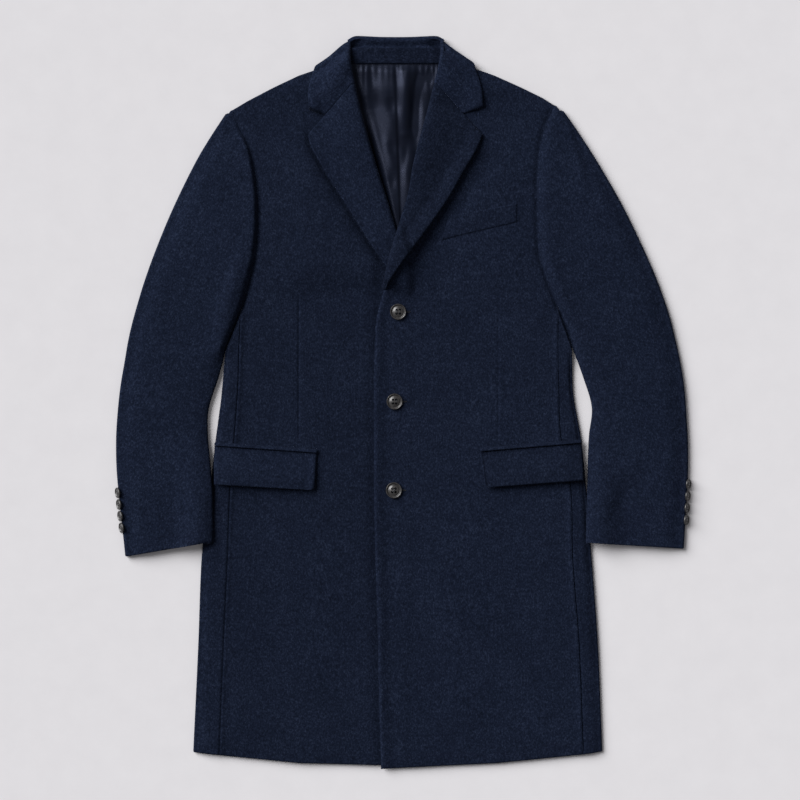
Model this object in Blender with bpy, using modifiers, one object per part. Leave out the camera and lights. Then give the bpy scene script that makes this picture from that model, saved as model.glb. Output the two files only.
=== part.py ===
"""Single-breasted wool overcoat, closed and laid flat on its back.

X runs across the coat, Y towards the collar and Z up from the surface it lies on. Sizes are in
millimetres up to the point where a mesh is made. "Left" and "right" are the wearer's: the left side
lies at +X, and the left front laps over the right one. Every cloth piece is a wall between an outer
and an inner surface, and the pieces are laid one on another like the layers of the real coat.
"""

import math

import bpy
import numpy as np
from mathutils import Vector

MM = 0.001

# Cloth and layers
WOOL = 2.5
LINING = 1.0
SEAM_GAP = 0.3
AIR = 3.0
BODY_HEIGHT = 2 * WOOL + AIR
FOLD_RADIUS = BODY_HEIGHT / 2
ROLL_RADIUS = 3.0
ROLL_SET_BACK = WOOL + 2 * SEAM_GAP

# The coat's centre line lies a little to one side of the middle of its box, because the arms differ.
CENTRE_LINE_X = -9.9
BOX_MIDDLE_Y = -0.1

RIGHT, LEFT = -1, 1
SIDE_NAMES = {RIGHT: "right", LEFT: "left"}

# Armhole seam, from the shoulder point down to the underarm: distance out from the centre line and
# height. The side seam starts at the last row but one.
#   right x, y, left x, y
ARMHOLE = [
    (229, 410, 221, 417),
    (219, 386, 209, 388),
    (206, 356, 200, 352),
    (198, 310, 197, 308),
    (196, 262, 197, 262),
    (200, 210, 200, 210),
    (209, 170, 212, 170),
    (220, 130, 227, 133),
    (238, 77, 246, 80),
]

# Front side seam, from the armhole to the hem: distance out from the centre line and height.
#   right x, y, left x, y
SIDE_SEAM = [
    (220, 130, 227, 133),
    (219, 85, 226, 88),
    (221, 20, 227, 20),
    (226, -50, 230, -48),
    (232, -127, 244, -124),
    (235, -215, 246.5, -220),
    (240.8, -340, 255.4, -338),
    (246.8, -493, 261.4, -492),
]

# Fold along the side of the body, opposite the same rows of the side seam.
#   right x, y, left x, y
SIDE_FOLD = [
    (238, 77, 246, 80),
    (241, 50, 247, 52),
    (245, 6, 249, 8),
    (253, -55, 260, -55),
    (261, -127, 267, -127),
    (272, -214, 274, -216),
    (277, -340, 283, -340),
    (284, -489, 289, -488),
]

# Shoulder line, from the neck (under the collar) to the shoulder point: distance out and height.
#   right x, y, left x, y
SHOULDER = [
    (76, 480, 76, 481),
    (104, 469, 104, 470),
    (136, 458, 138, 458),
    (172, 441, 176, 441),
    (207, 423, 205, 427),
    (229, 410, 221, 417),
]

# Roll line of the collar and the lapel, from the back corner of the neck to the break above the top
# button, in coat X. The gorge seam between collar and lapel meets it at GORGE_ROW.
#   right x, y, left x, y
ROLL_LINE = [
    (-63, 508, 61, 508),
    (-64, 492, 61, 492),
    (-62, 470, 58, 468),
    (-57, 445, 53, 446),
    (-47, 401, 43, 407),
    (-31, 344, 29, 356),
    (-15, 293, 18, 308),
    (0, 245, 6, 258),
    (11, 207, -9, 208),
    (21, 160, -20, 160),
]
GORGE_ROW = 3

# Front edge below the break, in coat X. The right one is hidden under the left front.
#   right x, y, left x, y
FRONT_EDGE = [
    (22, 135, -24, 135),
    (23, 104, -29, 104),
    (23, 25, -31, 25),
    (23, -52, -31, -52),
    (23, -141, -31, -141),
    (22, -220, -29, -220),
    (20, -318, -26, -318),
    (19, -416, -24, -416),
    (18, -508, -21, -512),
]

# Outer edge of each lapel, from its tip to just above the break, in coat X.
#   right x, y, left x, y
LAPEL_EDGE = [
    (-121, 378, 121, 375),
    (-120, 362, 113, 355),
    (-98, 322, 96, 319),
    (-67, 273, 75, 281),
    (-35, 222, 41, 233),
    (-8, 184, 8, 195),
    (14, 164, -12, 166),
]

# Collar's outer edge from the tip beside the notch to the shoulder, and the notch's inner corner.
#   right x, y, left x, y
COLLAR_EDGE = [
    (-122, 410, 122, 414),
    (-122, 440, 119, 442),
    (-113, 472, 109, 476),
]
NOTCH = [(-100, 401, 94, 404)]

# Line where the collar turns under over each shoulder, from the neck outwards.
#   right x, y, left x, y
COLLAR_TURN = [
    (-63, 511, 61, 511),
    (-82, 496, 80, 496),
    (-98, 483, 96, 485),
    (-113, 472, 109, 476),
]
COLLAR_UNDER_DEPTH = 14

# Back of the neck: heights of the fold, the seam below it, the stand's lower edge and the lower
# edge of the hidden fall, and half widths from the seam to that edge.
NECK_FOLD_Y = 512.4
NECK_DIP = 1.2
NECK_SEAM_Y = 497
STAND_LOW_Y = 474.5
FALL_LOW_Y = 456
BAND_HALF = 60.2
TURN_HALF = 58
FALL_HALF = 48
BAND_HEIGHT = 8.5
STAND_HEIGHT = 9.4

# The back lies over the hidden fall of the collar, and level below it.
BACK_RISE = WOOL + SEAM_GAP
RISE_LOW_Y, RISE_HIGH_Y = 412, 446

# Where the left front laps over it, the right front is pressed down.
LAP_DIP = 2.4
DIP_FAR_X, DIP_NEAR_X = -78, -46
DIP_HIGH_Y, DIP_LOW_Y = 226, 200

# Lining at the back of the neck: height and half width.
LINING_ROWS = [(473.5, 56), (440, 55), (400, 48), (350, 38), (300, 27), (240, 14)]

# Sleeve: outer edge opposite each row of the armhole, as distance out from the centre line.
#   right x, y, left x, y
SLEEVE_HEAD_EDGE = [
    (237, 407, 233, 411),
    (258, 375, 254, 381),
    (279, 340, 281, 339),
    (305, 288, 313, 284),
    (327, 238, 338, 234),
    (349, 180, 363, 178),
    (365, 128, 381, 128),
    (374, 92, 390, 94),
    (380, 58, 398, 58),
]
# Below the underarm: outer edge, inner edge, and how far the inner edge is lifted onto the body.
#   right outer x, y, inner x, y, lift, left outer x, y, inner x, y, lift
SLEEVE_LOW = [
    (386, 22, 247, 40, 0, 404, 20, 262, 36, 0),
    (390, -16, 262, -8, 0, 407, -20, 274, -6, 0),
    (392, -54, 263, -46, 0, 409, -58, 270, -46, 0),
    (391, -96, 259, -88, 5, 409, -96, 268, -90, 4),
    (387, -140, 256.5, -124, 8.3, 407, -134, 267, -124, 6.6),
    (383, -176, 256, -162, 8.3, 405, -170, 266, -160, 8.3),
    (379, -215, 256, -198, 8.3, 403, -204, 265, -198, 8.3),
]
LIFT_NEAR, LIFT_FAR = 18, 58

# Pocket flaps, in coat X: the top inner, top outer, low outer and low inner corners.
#   right x, y, left x, y
FLAP = [
    (-110.5, -70, 119, -68),
    (-254, -60, 260, -56),
    (-254, -114, 262, -108),
    (-113.5, -122, 126, -118),
]
FLAP_CORNER = 5
JET_WIDTH = 5
JET_THICKNESS = 1.8

# Chest welt on the left front: its top inner, top outer, low outer and low inner corners.
CHEST_WELT = [(74, 262), (169, 279), (169, 253), (63, 228)]
WELT_THICKNESS = 1.8

# Creases of the laid coat that show from a step away: a soft ridge or trough along a line.
#   x1, y1, x2, y2, half width, height
CREASES = [
    (236, 399, 262, 310, 7, 0.9),
    (248, 398, 272, 290, 8, -1.0),
    (-239, 396, -252, 340, 8, 0.8),
    (-267, 2, -300, 14, 7, -0.9),
    (-281, 32, -322, 40, 8, -0.7),
    (362, -80, 315, -144, 14, -1.0),
    (343, -64, 300, -120, 10, 0.7),
]

# Buttons: diameter, thickness, depth of the dish, hole diameter, radius of the holes' circle.
FRONT_BUTTON = (22.5, 4.0, 1.2, 2.2, 2.7)
SLEEVE_BUTTON = (15.0, 3.0, 0.9, 1.6, 2.0)
HOLES = 4
FRONT_BUTTON_PLACES = [(3, 127.5), (-2, 2), (-3, -122)]
SLEEVE_BUTTONS = 4
SLEEVE_BUTTON_TILT = 55
# Heights of the first and the last button along the sleeve's outer edge.
SLEEVE_BUTTON_SPAN = {RIGHT: (-125.5, -174.5), LEFT: (-113.5, -163.5)}

# Angles at which a fold is cut, from its flat side to just short of the seam at half its height.
QUARTER_FOLD = (45, 87.8)
HALF_FOLD = (36, 72, 108, 144, 180)
ROLL = (45, 90)

COLOURS = {
    "wool": ((0.010, 0.014, 0.030), 0.92),
    "wool_edge": ((0.013, 0.018, 0.036), 0.92),
    "lining": ((0.022, 0.028, 0.052), 0.45),
    "horn": ((0.035, 0.033, 0.034), 0.38),
}


def column(rows, side, first=0):
    """The points of one side of a table."""
    start = first if side == RIGHT else first + len(rows[0]) // 2
    return np.array([row[start : start + 2] for row in rows], float)


def outer_column(rows, side, first=0):
    """The same, where a row holds distances out from the centre line."""
    return column(rows, side, first) * np.array([side, 1.0])


def smooth(points, pieces=1):
    """A Catmull-Rom curve through the points, each span cut into so many pieces."""
    points = np.asarray(points, float)
    ends = [2 * points[0] - points[1], *points, 2 * points[-1] - points[-2]]
    found = [points[0]]
    for before, start, end, after in zip(ends, ends[1:], ends[2:], ends[3:]):
        for t in np.arange(1, pieces + 1) / pieces:
            bend = 2 * before - 5 * start + 4 * end - after
            twist = 3 * start - before - 3 * end + after
            found.append(start + 0.5 * ((end - before) * t + bend * t**2 + twist * t**3))
    return np.array(found)


def lengths(points):
    steps = np.linalg.norm(np.diff(points, axis=0), axis=1)
    return np.concatenate([[0.0], np.cumsum(steps)])


def sampled(points, shares):
    """Points of a curve at the given shares of its length."""
    along = lengths(points)
    return np.stack([np.interp(shares * along[-1], along, axis) for axis in points.T], axis=1)


def shares_of(points):
    along = lengths(points)
    return along / along[-1]


def outward(points, side_of):
    """Unit vectors across a plan curve, on the side of the given point."""
    tangent = np.gradient(points, axis=0)
    tangent /= np.linalg.norm(tangent, axis=1)[:, None]
    across = np.stack([tangent[:, 1], -tangent[:, 0]], axis=1)
    middle = len(points) // 2
    if np.dot(across[middle], np.asarray(side_of) - points[middle]) < 0:
        across = -across
    return across


def shifted(points, side_of, distance):
    return points + distance * outward(points, side_of)


def ruled(curves, shares):
    """A plan grid with a row for each point of the curves, and columns at shares between them."""
    columns = [curves[0]]
    for start, end, inside in zip(curves, curves[1:], shares):
        columns += [start + (end - start) * share for share in inside]
    return np.stack(columns, axis=1)


def even(count):
    return [k / count for k in range(1, count + 1)]


def ease(value, start, end):
    """0 at start and 1 at end, level at both."""
    share = np.clip((np.asarray(value, float) - start) / (end - start), 0, 1)
    return share * share * (3 - 2 * share)


def crease(x, y):
    """Height that the creases add to a top layer."""
    total = np.zeros(np.shape(x))
    for x1, y1, x2, y2, half_width, height in CREASES:
        run_x, run_y = x2 - x1, y2 - y1
        along = ((x - x1) * run_x + (y - y1) * run_y) / (run_x**2 + run_y**2)
        near = np.clip(along, 0, 1)
        away = np.hypot(x - x1 - near * run_x, y - y1 - near * run_y)
        total += height * np.sin(np.pi * (0.1 + 0.8 * near)) * np.exp(-((away / half_width) ** 2))
    return total


def rise(y):
    """How far the back and all above it are raised by the collar's hidden fall."""
    return BACK_RISE * ease(y, RISE_LOW_Y, RISE_HIGH_Y)


def front_level(plan, side):
    """Top of a front over nothing but the back."""
    x, y = plan[..., 0], plan[..., 1]
    level = BODY_HEIGHT + rise(y) + crease(x, y)
    if side == RIGHT:
        level = level - LAP_DIP * ease(x, DIP_FAR_X, DIP_NEAR_X) * ease(y, DIP_HIGH_Y, DIP_LOW_Y)
    return level


def finer(points, pieces):
    """Points on the triangles of a grid of rows x columns x 3, with so many pieces to a step."""
    rows, columns = points.shape[:2]
    row = np.arange((rows - 1) * pieces + 1)
    low = np.minimum(row // pieces, rows - 2)
    down = ((row - low * pieces) / pieces)[:, None, None]
    step = np.arange((columns - 1) * pieces + 1)
    near = np.minimum(step // pieces, columns - 2)
    over = ((step - near * pieces) / pieces)[None, :, None]
    corner = points[low][:, near]
    below = points[low + 1][:, near]
    beside = points[low][:, near + 1]
    opposite = points[low + 1][:, near + 1]
    one = corner + down * (below - corner) + over * (opposite - below)
    two = corner + over * (beside - corner) + down * (opposite - beside)
    return np.where(down >= over, one, two)


class Pile:
    """How high the layers laid so far reach, on a square map of the surface."""

    CELL = 2.0
    HALF_X, HALF_Y = 440, 540
    PIECES = 16
    ROUNDS = 4

    def __init__(self):
        self.top = np.zeros((int(2 * self.HALF_X / self.CELL), int(2 * self.HALF_Y / self.CELL)))

    def cells(self, plan):
        i = np.clip((plan[..., 0] + self.HALF_X) / self.CELL, 0, self.top.shape[0] - 1)
        j = np.clip((plan[..., 1] + self.HALF_Y) / self.CELL, 0, self.top.shape[1] - 1)
        return i.astype(int), j.astype(int)

    def lay(self, points):
        """Raises the map to a surface of rows x columns x 3 points."""
        fine = finer(points, self.PIECES)
        i, j = self.cells(fine)
        np.maximum.at(self.top, (i.ravel(), j.ravel()), fine[..., 2].ravel())

    def widened(self, reach):
        """The map with each cell as high as the highest within reach."""
        level = self.top
        for axis in (0, 1):
            widest = level
            for shift in range(1, int(math.ceil(reach / self.CELL)) + 1):
                widest = np.maximum(widest, np.roll(level, shift, axis))
                widest = np.maximum(widest, np.roll(level, -shift, axis))
            level = widest
        return level

    def seat(self, plan, reach=0.0):
        """Lowest underside over the plan's points, clear of all within reach."""
        return self.widened(reach)[self.cells(plan)] + SEAM_GAP

    def rest(self, plan, level, thickness):
        """Top heights of a sheet at the given level, raised wherever its triangles meet the pile."""
        heights = np.array(level, float)
        near = self.widened(self.CELL)
        for _ in range(self.ROUNDS):
            fine = finer(np.dstack([plan, heights]), self.PIECES)
            need = near[self.cells(fine)] + SEAM_GAP + thickness - fine[..., 2]
            cell_rows, cell_columns = plan.shape[0] - 1, plan.shape[1] - 1
            worst = np.zeros((cell_rows, cell_columns))
            for down in range(self.PIECES + 1):
                for over in range(self.PIECES + 1):
                    part = need[down :: self.PIECES, over :: self.PIECES]
                    worst = np.maximum(worst, part[:cell_rows, :cell_columns])
            lift = np.zeros(heights.shape)
            for down in (0, 1):
                for over in (0, 1):
                    around = lift[down : down + cell_rows, over : over + cell_columns]
                    np.maximum(around, worst, out=around)
            heights += lift
            if worst.max() < 0.01:
                break
        return heights


UP = np.array([0.0, 0.0, 1.0])


def in_space(across):
    """A plan direction as a level direction in space."""
    return np.hstack([across, np.zeros((len(across), 1))])


def edge_turn(edge, facing, across, radius, angles):
    """Columns that turn a surface over at its edge, as (points, normals) for each angle."""
    radius = np.broadcast_to(radius, len(edge))[:, None]
    centre = edge - radius * across - radius * facing
    found = []
    for angle in angles:
        turned = math.radians(angle)
        normal = math.cos(turned) * facing + math.sin(turned) * across
        found.append((centre + radius * normal, normal))
    return found


def flat_columns(plan, heights, up=1):
    """A plan grid at the given heights, as columns of (points, normals)."""
    points = np.dstack([plan, heights])
    facing = np.broadcast_to(up * UP, points[:, 0].shape)
    return [(points[:, k], facing) for k in range(points.shape[1])]


def grids(columns):
    points = np.stack([point for point, _ in columns], axis=1)
    normals = np.stack([normal for _, normal in columns], axis=1)
    return points, normals


def wall(name, points, normals, thickness, material, collection):
    """A closed wall between an outer surface and the same surface moved in along its normals."""
    rows, columns = points.shape[:2]
    count = rows * columns
    index = np.arange(count).reshape(rows, columns)
    corner, below = index[:-1, :-1], index[1:, :-1]
    beside, opposite = index[:-1, 1:], index[1:, 1:]
    one = np.stack([corner, below, opposite], axis=-1).reshape(-1, 3)
    two = np.stack([corner, opposite, beside], axis=-1).reshape(-1, 3)
    skin = np.concatenate([one, two])
    rim = np.concatenate([index[0, ::-1], index[1:, 0], index[-1, 1:], index[-2:0:-1, -1]])
    after = np.roll(rim, -1)
    sides = np.concatenate(
        [np.stack([rim, rim + count, after], axis=1), np.stack([after, rim + count, after + count], axis=1)]
    )
    faces = np.concatenate([skin, skin[:, ::-1] + count, sides])
    down, over = points[1, 0] - points[0, 0], points[0, 1] - points[0, 0]
    if np.dot(np.cross(down, over), normals[0, 0]) < 0:
        faces = faces[:, ::-1]
    both = np.concatenate([points.reshape(-1, 3), (points - thickness * normals).reshape(-1, 3)])
    both = (both + np.array([CENTRE_LINE_X, BOX_MIDDLE_Y, 0.0])) * MM
    mesh = bpy.data.meshes.new(name)
    mesh.from_pydata(both.tolist(), [], faces.tolist())
    mesh.materials.append(material)
    mesh.shade_smooth()
    mesh.set_sharp_from_angle(angle=math.radians(40))
    piece = bpy.data.objects.new(name, mesh)
    collection.objects.link(piece)
    return piece


class Coat:
    """The curves that neighbouring pieces share, and the pile that they are laid on."""

    def __init__(self, collection, materials):
        self.collection = collection
        self.materials = materials
        self.pile = Pile()

    def add(self, name, points, normals, thickness=WOOL, material="wool"):
        wall(name, points, normals, thickness, self.materials[material], self.collection)
        self.pile.lay(points)

    def panel(self, name, inner, side, up):
        """A front or half a back, from its shoulder fold to its hem."""
        outer = panel_edge(side)
        inner = sampled(inner, shares_of(outer))
        plan = ruled([inner, outer], [PANEL_SHARES])
        shoulder = sampled(outer_column(SHOULDER, side), np.array([0, *PANEL_SHARES]))
        over = outward(shoulder, (0, 600))
        plan[0] = shoulder - FOLD_RADIUS * over
        if up > 0:
            heights = self.pile.rest(plan, front_level(plan, side), WOOL)
        else:
            heights = rise(plan[..., 1])
        points = np.dstack([plan, heights])
        normals = np.broadcast_to(up * UP, points.shape)
        edge = np.hstack([shoulder, heights[0][:, None]])
        turned = edge_turn(edge, normals[0], in_space(over), FOLD_RADIUS, QUARTER_FOLD[::-1])
        points = np.concatenate([np.stack([point for point, _ in turned]), points])
        normals = np.concatenate([np.stack([normal for _, normal in turned]), normals])
        self.add(name, points, normals)
        if up < 0:
            self.pile.lay(points - WOOL * normals)


PANEL_SHARES = [0.1, 0.24, 0.42, 0.62, 0.82, 1.0]


def panel_edge(side):
    """Outer edge of a front and of a back: the armhole, then the side seam."""
    armhole = smooth(outer_column(ARMHOLE, side), 2)[:-3]
    seam = smooth(outer_column(SIDE_SEAM, side), 2)
    return shifted(np.concatenate([armhole, seam]), (0, 0), SEAM_GAP / 2)


def make_backs(coat):
    for side in (RIGHT, LEFT):
        centre = np.array([[side * SEAM_GAP / 2, 476.0], [side * SEAM_GAP / 2, -508.0]])
        coat.panel(f"back_{SIDE_NAMES[side]}", centre, side, up=-1)


def make_front(coat, side):
    roll = column(ROLL_LINE[GORGE_ROW:], side)
    inner = np.concatenate(
        [
            [outer_column(SHOULDER, side)[0] - np.array([0, FOLD_RADIUS])],
            shifted(smooth(roll, 2), (side * 300, 300), ROLL_SET_BACK),
            smooth(column(FRONT_EDGE, side), 2),
        ]
    )
    coat.panel(f"front_{SIDE_NAMES[side]}", inner, side, up=1)


def make_side(coat, side):
    """The side panel: from the front side seam, round the fold, to the back side seam."""
    seam = smooth(outer_column(SIDE_SEAM, side), 2)
    seam = shifted(seam, (side * 900, 0), SEAM_GAP / 2)
    fold = smooth(outer_column(SIDE_FOLD, side), 2)
    across = outward(fold, (side * 900, 0))
    flat = ruled([seam, fold - FOLD_RADIUS * across], [even(2)])
    heights = BODY_HEIGHT + crease(flat[..., 0], flat[..., 1])
    heights[:, -1] = BODY_HEIGHT
    top = flat_columns(flat, heights)
    edge = np.hstack([fold, np.full((len(fold), 1), BODY_HEIGHT)])
    facing = np.broadcast_to(UP, edge.shape)
    turned = edge_turn(edge, facing, in_space(across), FOLD_RADIUS, HALF_FOLD)
    under = flat_columns(flat[:, 1::-1], np.zeros(flat[:, :2].shape[:2]), up=-1)
    coat.add(f"side_{SIDE_NAMES[side]}", *grids(top + turned + under))


def make_lining(coat):
    rows = smooth(np.array(LINING_ROWS, float), 2)
    plan = ruled([rows[:, ::-1] * [-1, 1], rows[:, ::-1]], [even(8)])
    level = rise(plan[..., 1]) + WOOL + SEAM_GAP + LINING
    heights = coat.pile.rest(plan, level, LINING)
    coat.add("lining", *grids(flat_columns(plan, heights)), thickness=LINING, material="lining")


def make_neck_band(coat):
    """The collar behind the neck: its inner band, its fold and the fall hidden under the back."""
    shares = np.linspace(-1, 1, 9)

    def line(y, half):
        return np.stack([shares * half, np.full(len(shares), float(y))], axis=1)

    radius = BAND_HEIGHT / 2
    fold = line(NECK_FOLD_Y, TURN_HALF)
    fold[:, 1] -= NECK_DIP * (1 - shares**2)
    across = np.broadcast_to([0.0, 1.0], fold.shape)
    band = ruled([line(NECK_SEAM_Y + SEAM_GAP, BAND_HALF), fold - radius * across], [even(2)])
    top = flat_columns(band, np.full(band.shape[:2], BAND_HEIGHT))
    edge = np.hstack([fold, np.full((len(fold), 1), BAND_HEIGHT)])
    turned = edge_turn(edge, np.broadcast_to(UP, edge.shape), in_space(across), radius, HALF_FOLD)
    fall = ruled([line(500, FALL_HALF), line(FALL_LOW_Y, FALL_HALF)], [even(2)])
    under = flat_columns(fall, np.zeros(fall.shape[:2]), up=-1)
    points, normals = grids(top + turned + under)
    coat.add("collar_back", points, normals)


def make_stand(coat):
    shares = np.linspace(-1, 1, 9)
    low = np.stack([shares * BAND_HALF, np.full(9, STAND_LOW_Y)], axis=1)
    high = np.stack([shares * BAND_HALF, np.full(9, float(NECK_SEAM_Y))], axis=1)
    plan = ruled([low, high], [even(2)])
    heights = STAND_HEIGHT - (STAND_HEIGHT - BAND_HEIGHT) * ease(plan[..., 1], STAND_LOW_Y, NECK_SEAM_Y)
    coat.add("collar_stand", *grids(flat_columns(plan, heights)))


def roll_columns(edge, facing, across, depth):
    """The roll at the neck opening, and the skirt below it that reaches down by depth."""
    turned = edge_turn(edge, facing, across, ROLL_RADIUS, ROLL)
    low, normal = turned[-1]
    skirt = np.maximum(depth - ROLL_RADIUS, 0.4)[:, None]
    return turned + [(low - skirt * facing, normal)]


def roll_floor(coat, line):
    """Lowest heights for the foot of a roll, which stay clear of the pile between the rows too."""
    low = coat.pile.seat(line, 2 * coat.pile.CELL)
    return np.maximum(low, np.maximum(np.append(low[1:], 0), np.append(0, low[:-1])))


def make_lapel(coat, side):
    """The facing that is turned out, with its roll at the neck opening."""
    outer = smooth(column(LAPEL_EDGE, side), 2)
    roll = smooth(column(ROLL_LINE[GORGE_ROW:], side), 2)
    roll = sampled(roll, shares_of(outer))
    neck = (-side * 300, 300)
    across = outward(roll, neck)
    plan = ruled([outer, roll - ROLL_RADIUS * across], [[0.15, 0.4, 0.7, 1.0]])
    floor = roll_floor(coat, roll - WOOL / 2 * across)
    heights = coat.pile.rest(plan, np.zeros(plan.shape[:2]), WOOL)
    edge = np.hstack([roll, heights[:, -1:]])
    facing = np.broadcast_to(UP, edge.shape)
    depth = heights[:, -1] - floor
    columns = flat_columns(plan, heights)
    columns += roll_columns(edge, facing, in_space(across), depth)
    coat.add(f"lapel_{SIDE_NAMES[side]}", *grids(columns), material="wool_edge")


def make_wing(coat, side):
    """The collar on one side: from the gorge and the notch up to the shoulder, and turned under."""
    edge = smooth(column(COLLAR_EDGE, side), 3)
    shares = shares_of(edge)
    turn = smooth(column(COLLAR_TURN, side), 2)
    leg = smooth(column(ROLL_LINE[: GORGE_ROW + 1], side)[::-1], 3)
    leg = sampled(leg, shares)
    notch = column(NOTCH, side)[0]
    middle = sampled(turn, np.array([0.56]))[0]
    inner = notch + (middle - notch) * shares[:, None]
    across = outward(leg, (-side * 300, 480))
    plan = ruled([edge, inner, leg - ROLL_RADIUS * across], [even(2), even(3)])
    line = sampled(turn, np.array([1, 0.78, 0.56, 0.38, 0.2, 0]))
    line[-1] -= ROLL_RADIUS * across[-1]
    over = outward(line, (side * 400, 900))
    over[-1] = (0, 1)
    level = BODY_HEIGHT + SEAM_GAP + WOOL
    radius = (level + BACK_RISE) / 2
    plan[-1] = line - radius * over
    for row, back in ((-2, 6), (-3, 12)):
        limit = (line - (radius + back) * over)[:, 1]
        plan[row, :, 1] = np.minimum(plan[row, :, 1], limit)
    heights = coat.pile.rest(plan, level + rise(plan[..., 1]), WOOL)
    heights[-1] = 2 * radius
    leg_across = in_space(across)
    leg_across[-1] = leg_across[-1] * [1, 0, 0]
    rows = [np.dstack([plan, heights])[k] for k in range(len(plan))]
    facings = [np.broadcast_to(UP, rows[0].shape)] * len(rows)
    level_over = in_space(over)
    fold_edge = rows[-1] + radius * level_over
    for point, normal in edge_turn(fold_edge, facings[-1], level_over, radius, HALF_FOLD):
        rows.append(point)
        facings.append(normal)
    rows.append(rows[-1] - COLLAR_UNDER_DEPTH * level_over)
    facings.append(facings[-1])
    points, normals = np.stack(rows), np.stack(facings)
    flat = len(plan)
    edge_line = points[:, -1] + ROLL_RADIUS * along_roll(leg_across, normals[:, -1], flat)
    floor = roll_floor(coat, leg - WOOL / 2 * across)
    depth = np.full(len(points), 0.8 * radius)
    depth[: flat - 1] = heights[:-1, -1] - floor[:-1]
    columns = [(points[:, k], normals[:, k]) for k in range(points.shape[1])]
    turned_across = along_roll(leg_across, normals[:, -1], flat)
    columns += roll_columns(edge_line, normals[:, -1], turned_across, depth)
    coat.add(f"collar_{SIDE_NAMES[side]}", *grids(columns), material="wool_edge")


def along_roll(across, facing, flat):
    """Directions across the roll for every row, square to the surface where it turns under."""
    all_rows = np.concatenate([across, np.repeat(across[-1:], len(facing) - flat, axis=0)])
    all_rows = all_rows - (all_rows * facing).sum(axis=1)[:, None] * facing
    return all_rows / np.linalg.norm(all_rows, axis=1)[:, None]


def sleeve_curves(side):
    """Plan curves of the sleeve's inner and outer edge, and the lift of the inner one."""
    low_first = 0 if side == RIGHT else 5
    low = np.array([row[low_first : low_first + 5] for row in SLEEVE_LOW], float)
    out = np.array([side, 1.0])
    armhole = smooth(outer_column(ARMHOLE, side), 2)
    armhole = shifted(armhole, (side * 900, 0), SEAM_GAP / 2)
    head = smooth(outer_column(SLEEVE_HEAD_EDGE, side), 2)
    outer = np.concatenate([head, low[:, :2] * out])
    inner = np.concatenate([armhole, low[:, 2:4] * out])
    return inner, outer, np.concatenate([np.zeros(len(head)), low[:, 4]]), len(head)


SLEEVE_SHARES = [0.12, 0.36, 0.66, 1.0]


def make_sleeve(coat, side, up):
    """The top or the under piece of a sleeve: both edges turn to meet the other piece halfway."""
    inner, outer, lift, head_rows = sleeve_curves(side)
    across_in = outward(inner, (0, 0))
    across_out = outward(outer, (side * 900, 0))
    count = len(inner)
    low = np.arange(count) >= head_rows
    set_in = np.where(low, FOLD_RADIUS, 0.04 * np.linalg.norm(outer - inner, axis=1))[:, None]
    out_edge = outer - FOLD_RADIUS * across_out
    plan = ruled([inner - set_in * across_in, out_edge], [SLEEVE_SHARES])
    away = np.linalg.norm(plan - inner[:, None], axis=2)
    raised = lift[:, None] * (1 - ease(away, LIFT_NEAR, LIFT_FAR))
    raised[:, -1] = 0
    if up > 0:
        heights = BODY_HEIGHT + raised + crease(plan[..., 0], plan[..., 1])
        heights[:, -1] = BODY_HEIGHT
        heights[low, 0] = (BODY_HEIGHT + lift)[low]
    else:
        heights = raised
    middle = flat_columns(plan, heights, up)
    facing = np.broadcast_to(up * UP, (count, 3))
    edge = np.hstack([inner, (heights[:, 0])[:, None]])
    turned_in = edge_turn(edge, facing, in_space(across_in), FOLD_RADIUS, QUARTER_FOLD[::-1])
    strip = []
    for (point, normal), share in zip(turned_in, (0.0, 0.5)):
        flat = np.hstack([inner - share * set_in * across_in, heights[:, :1]])
        strip.append((np.where(low[:, None], point, flat), np.where(low[:, None], normal, facing)))
    end = np.hstack([outer, heights[:, -1:]])
    turned_out = edge_turn(end, facing, in_space(across_out), FOLD_RADIUS, QUARTER_FOLD)
    kind = "top" if up > 0 else "under"
    coat.add(f"sleeve_{kind}_{SIDE_NAMES[side]}", *grids(strip + middle + turned_out))


def sheet_between(corners, down, over):
    """A plan grid between a top inner, a top outer, a low outer and a low inner corner."""
    top_inner, top_outer, low_outer, low_inner = np.asarray(corners, float)
    left = top_inner + np.asarray(down)[:, None] * (low_inner - top_inner)
    right = top_outer + np.asarray(down)[:, None] * (low_outer - top_outer)
    return left[:, None] + np.asarray(over)[None, :, None] * (right - left)[:, None]


def lay_sheet(coat, name, plan, thickness, material="wool_edge"):
    heights = coat.pile.rest(plan, np.zeros(plan.shape[:2]), thickness)
    coat.add(name, *grids(flat_columns(plan, heights)), thickness=thickness, material=material)


def make_pocket(coat, side):
    """A flap and the jet that it hangs from."""
    corners = column(FLAP, side)
    inner_edge = np.linalg.norm(corners[3] - corners[0])
    corner = FLAP_CORNER / inner_edge
    down = np.array([0, 0.5, 1 - corner, 1 - 0.3 * corner, 1])
    over = np.array([0, 0.12, 0.36, 0.6, 0.8, 1])
    plan = sheet_between(corners, down, over)
    rounding = np.array([0, 0, 0, 0.29, 1]) * FLAP_CORNER
    plan[:, 0, 0] += side * rounding
    lay_sheet(coat, f"flap_{SIDE_NAMES[side]}", plan, WOOL)
    low_inner, low_outer = corners[0], corners[1]
    along = (low_outer - low_inner) / np.linalg.norm(low_outer - low_inner)
    upward = np.array([-along[1], along[0]]) * np.sign(along[0])
    gap, high = SEAM_GAP * upward, (SEAM_GAP + JET_WIDTH) * upward
    jet = [low_inner + high, low_outer + high, low_outer + gap, low_inner + gap]
    lay_sheet(coat, f"flap_jet_{SIDE_NAMES[side]}", sheet_between(jet, [0, 1], over), JET_THICKNESS)


def make_chest_welt(coat):
    plan = sheet_between(CHEST_WELT, [0, 0.5, 1], [0, 0.25, 0.5, 0.75, 1])
    lay_sheet(coat, "chest_welt", plan, WELT_THICKNESS)


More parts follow.
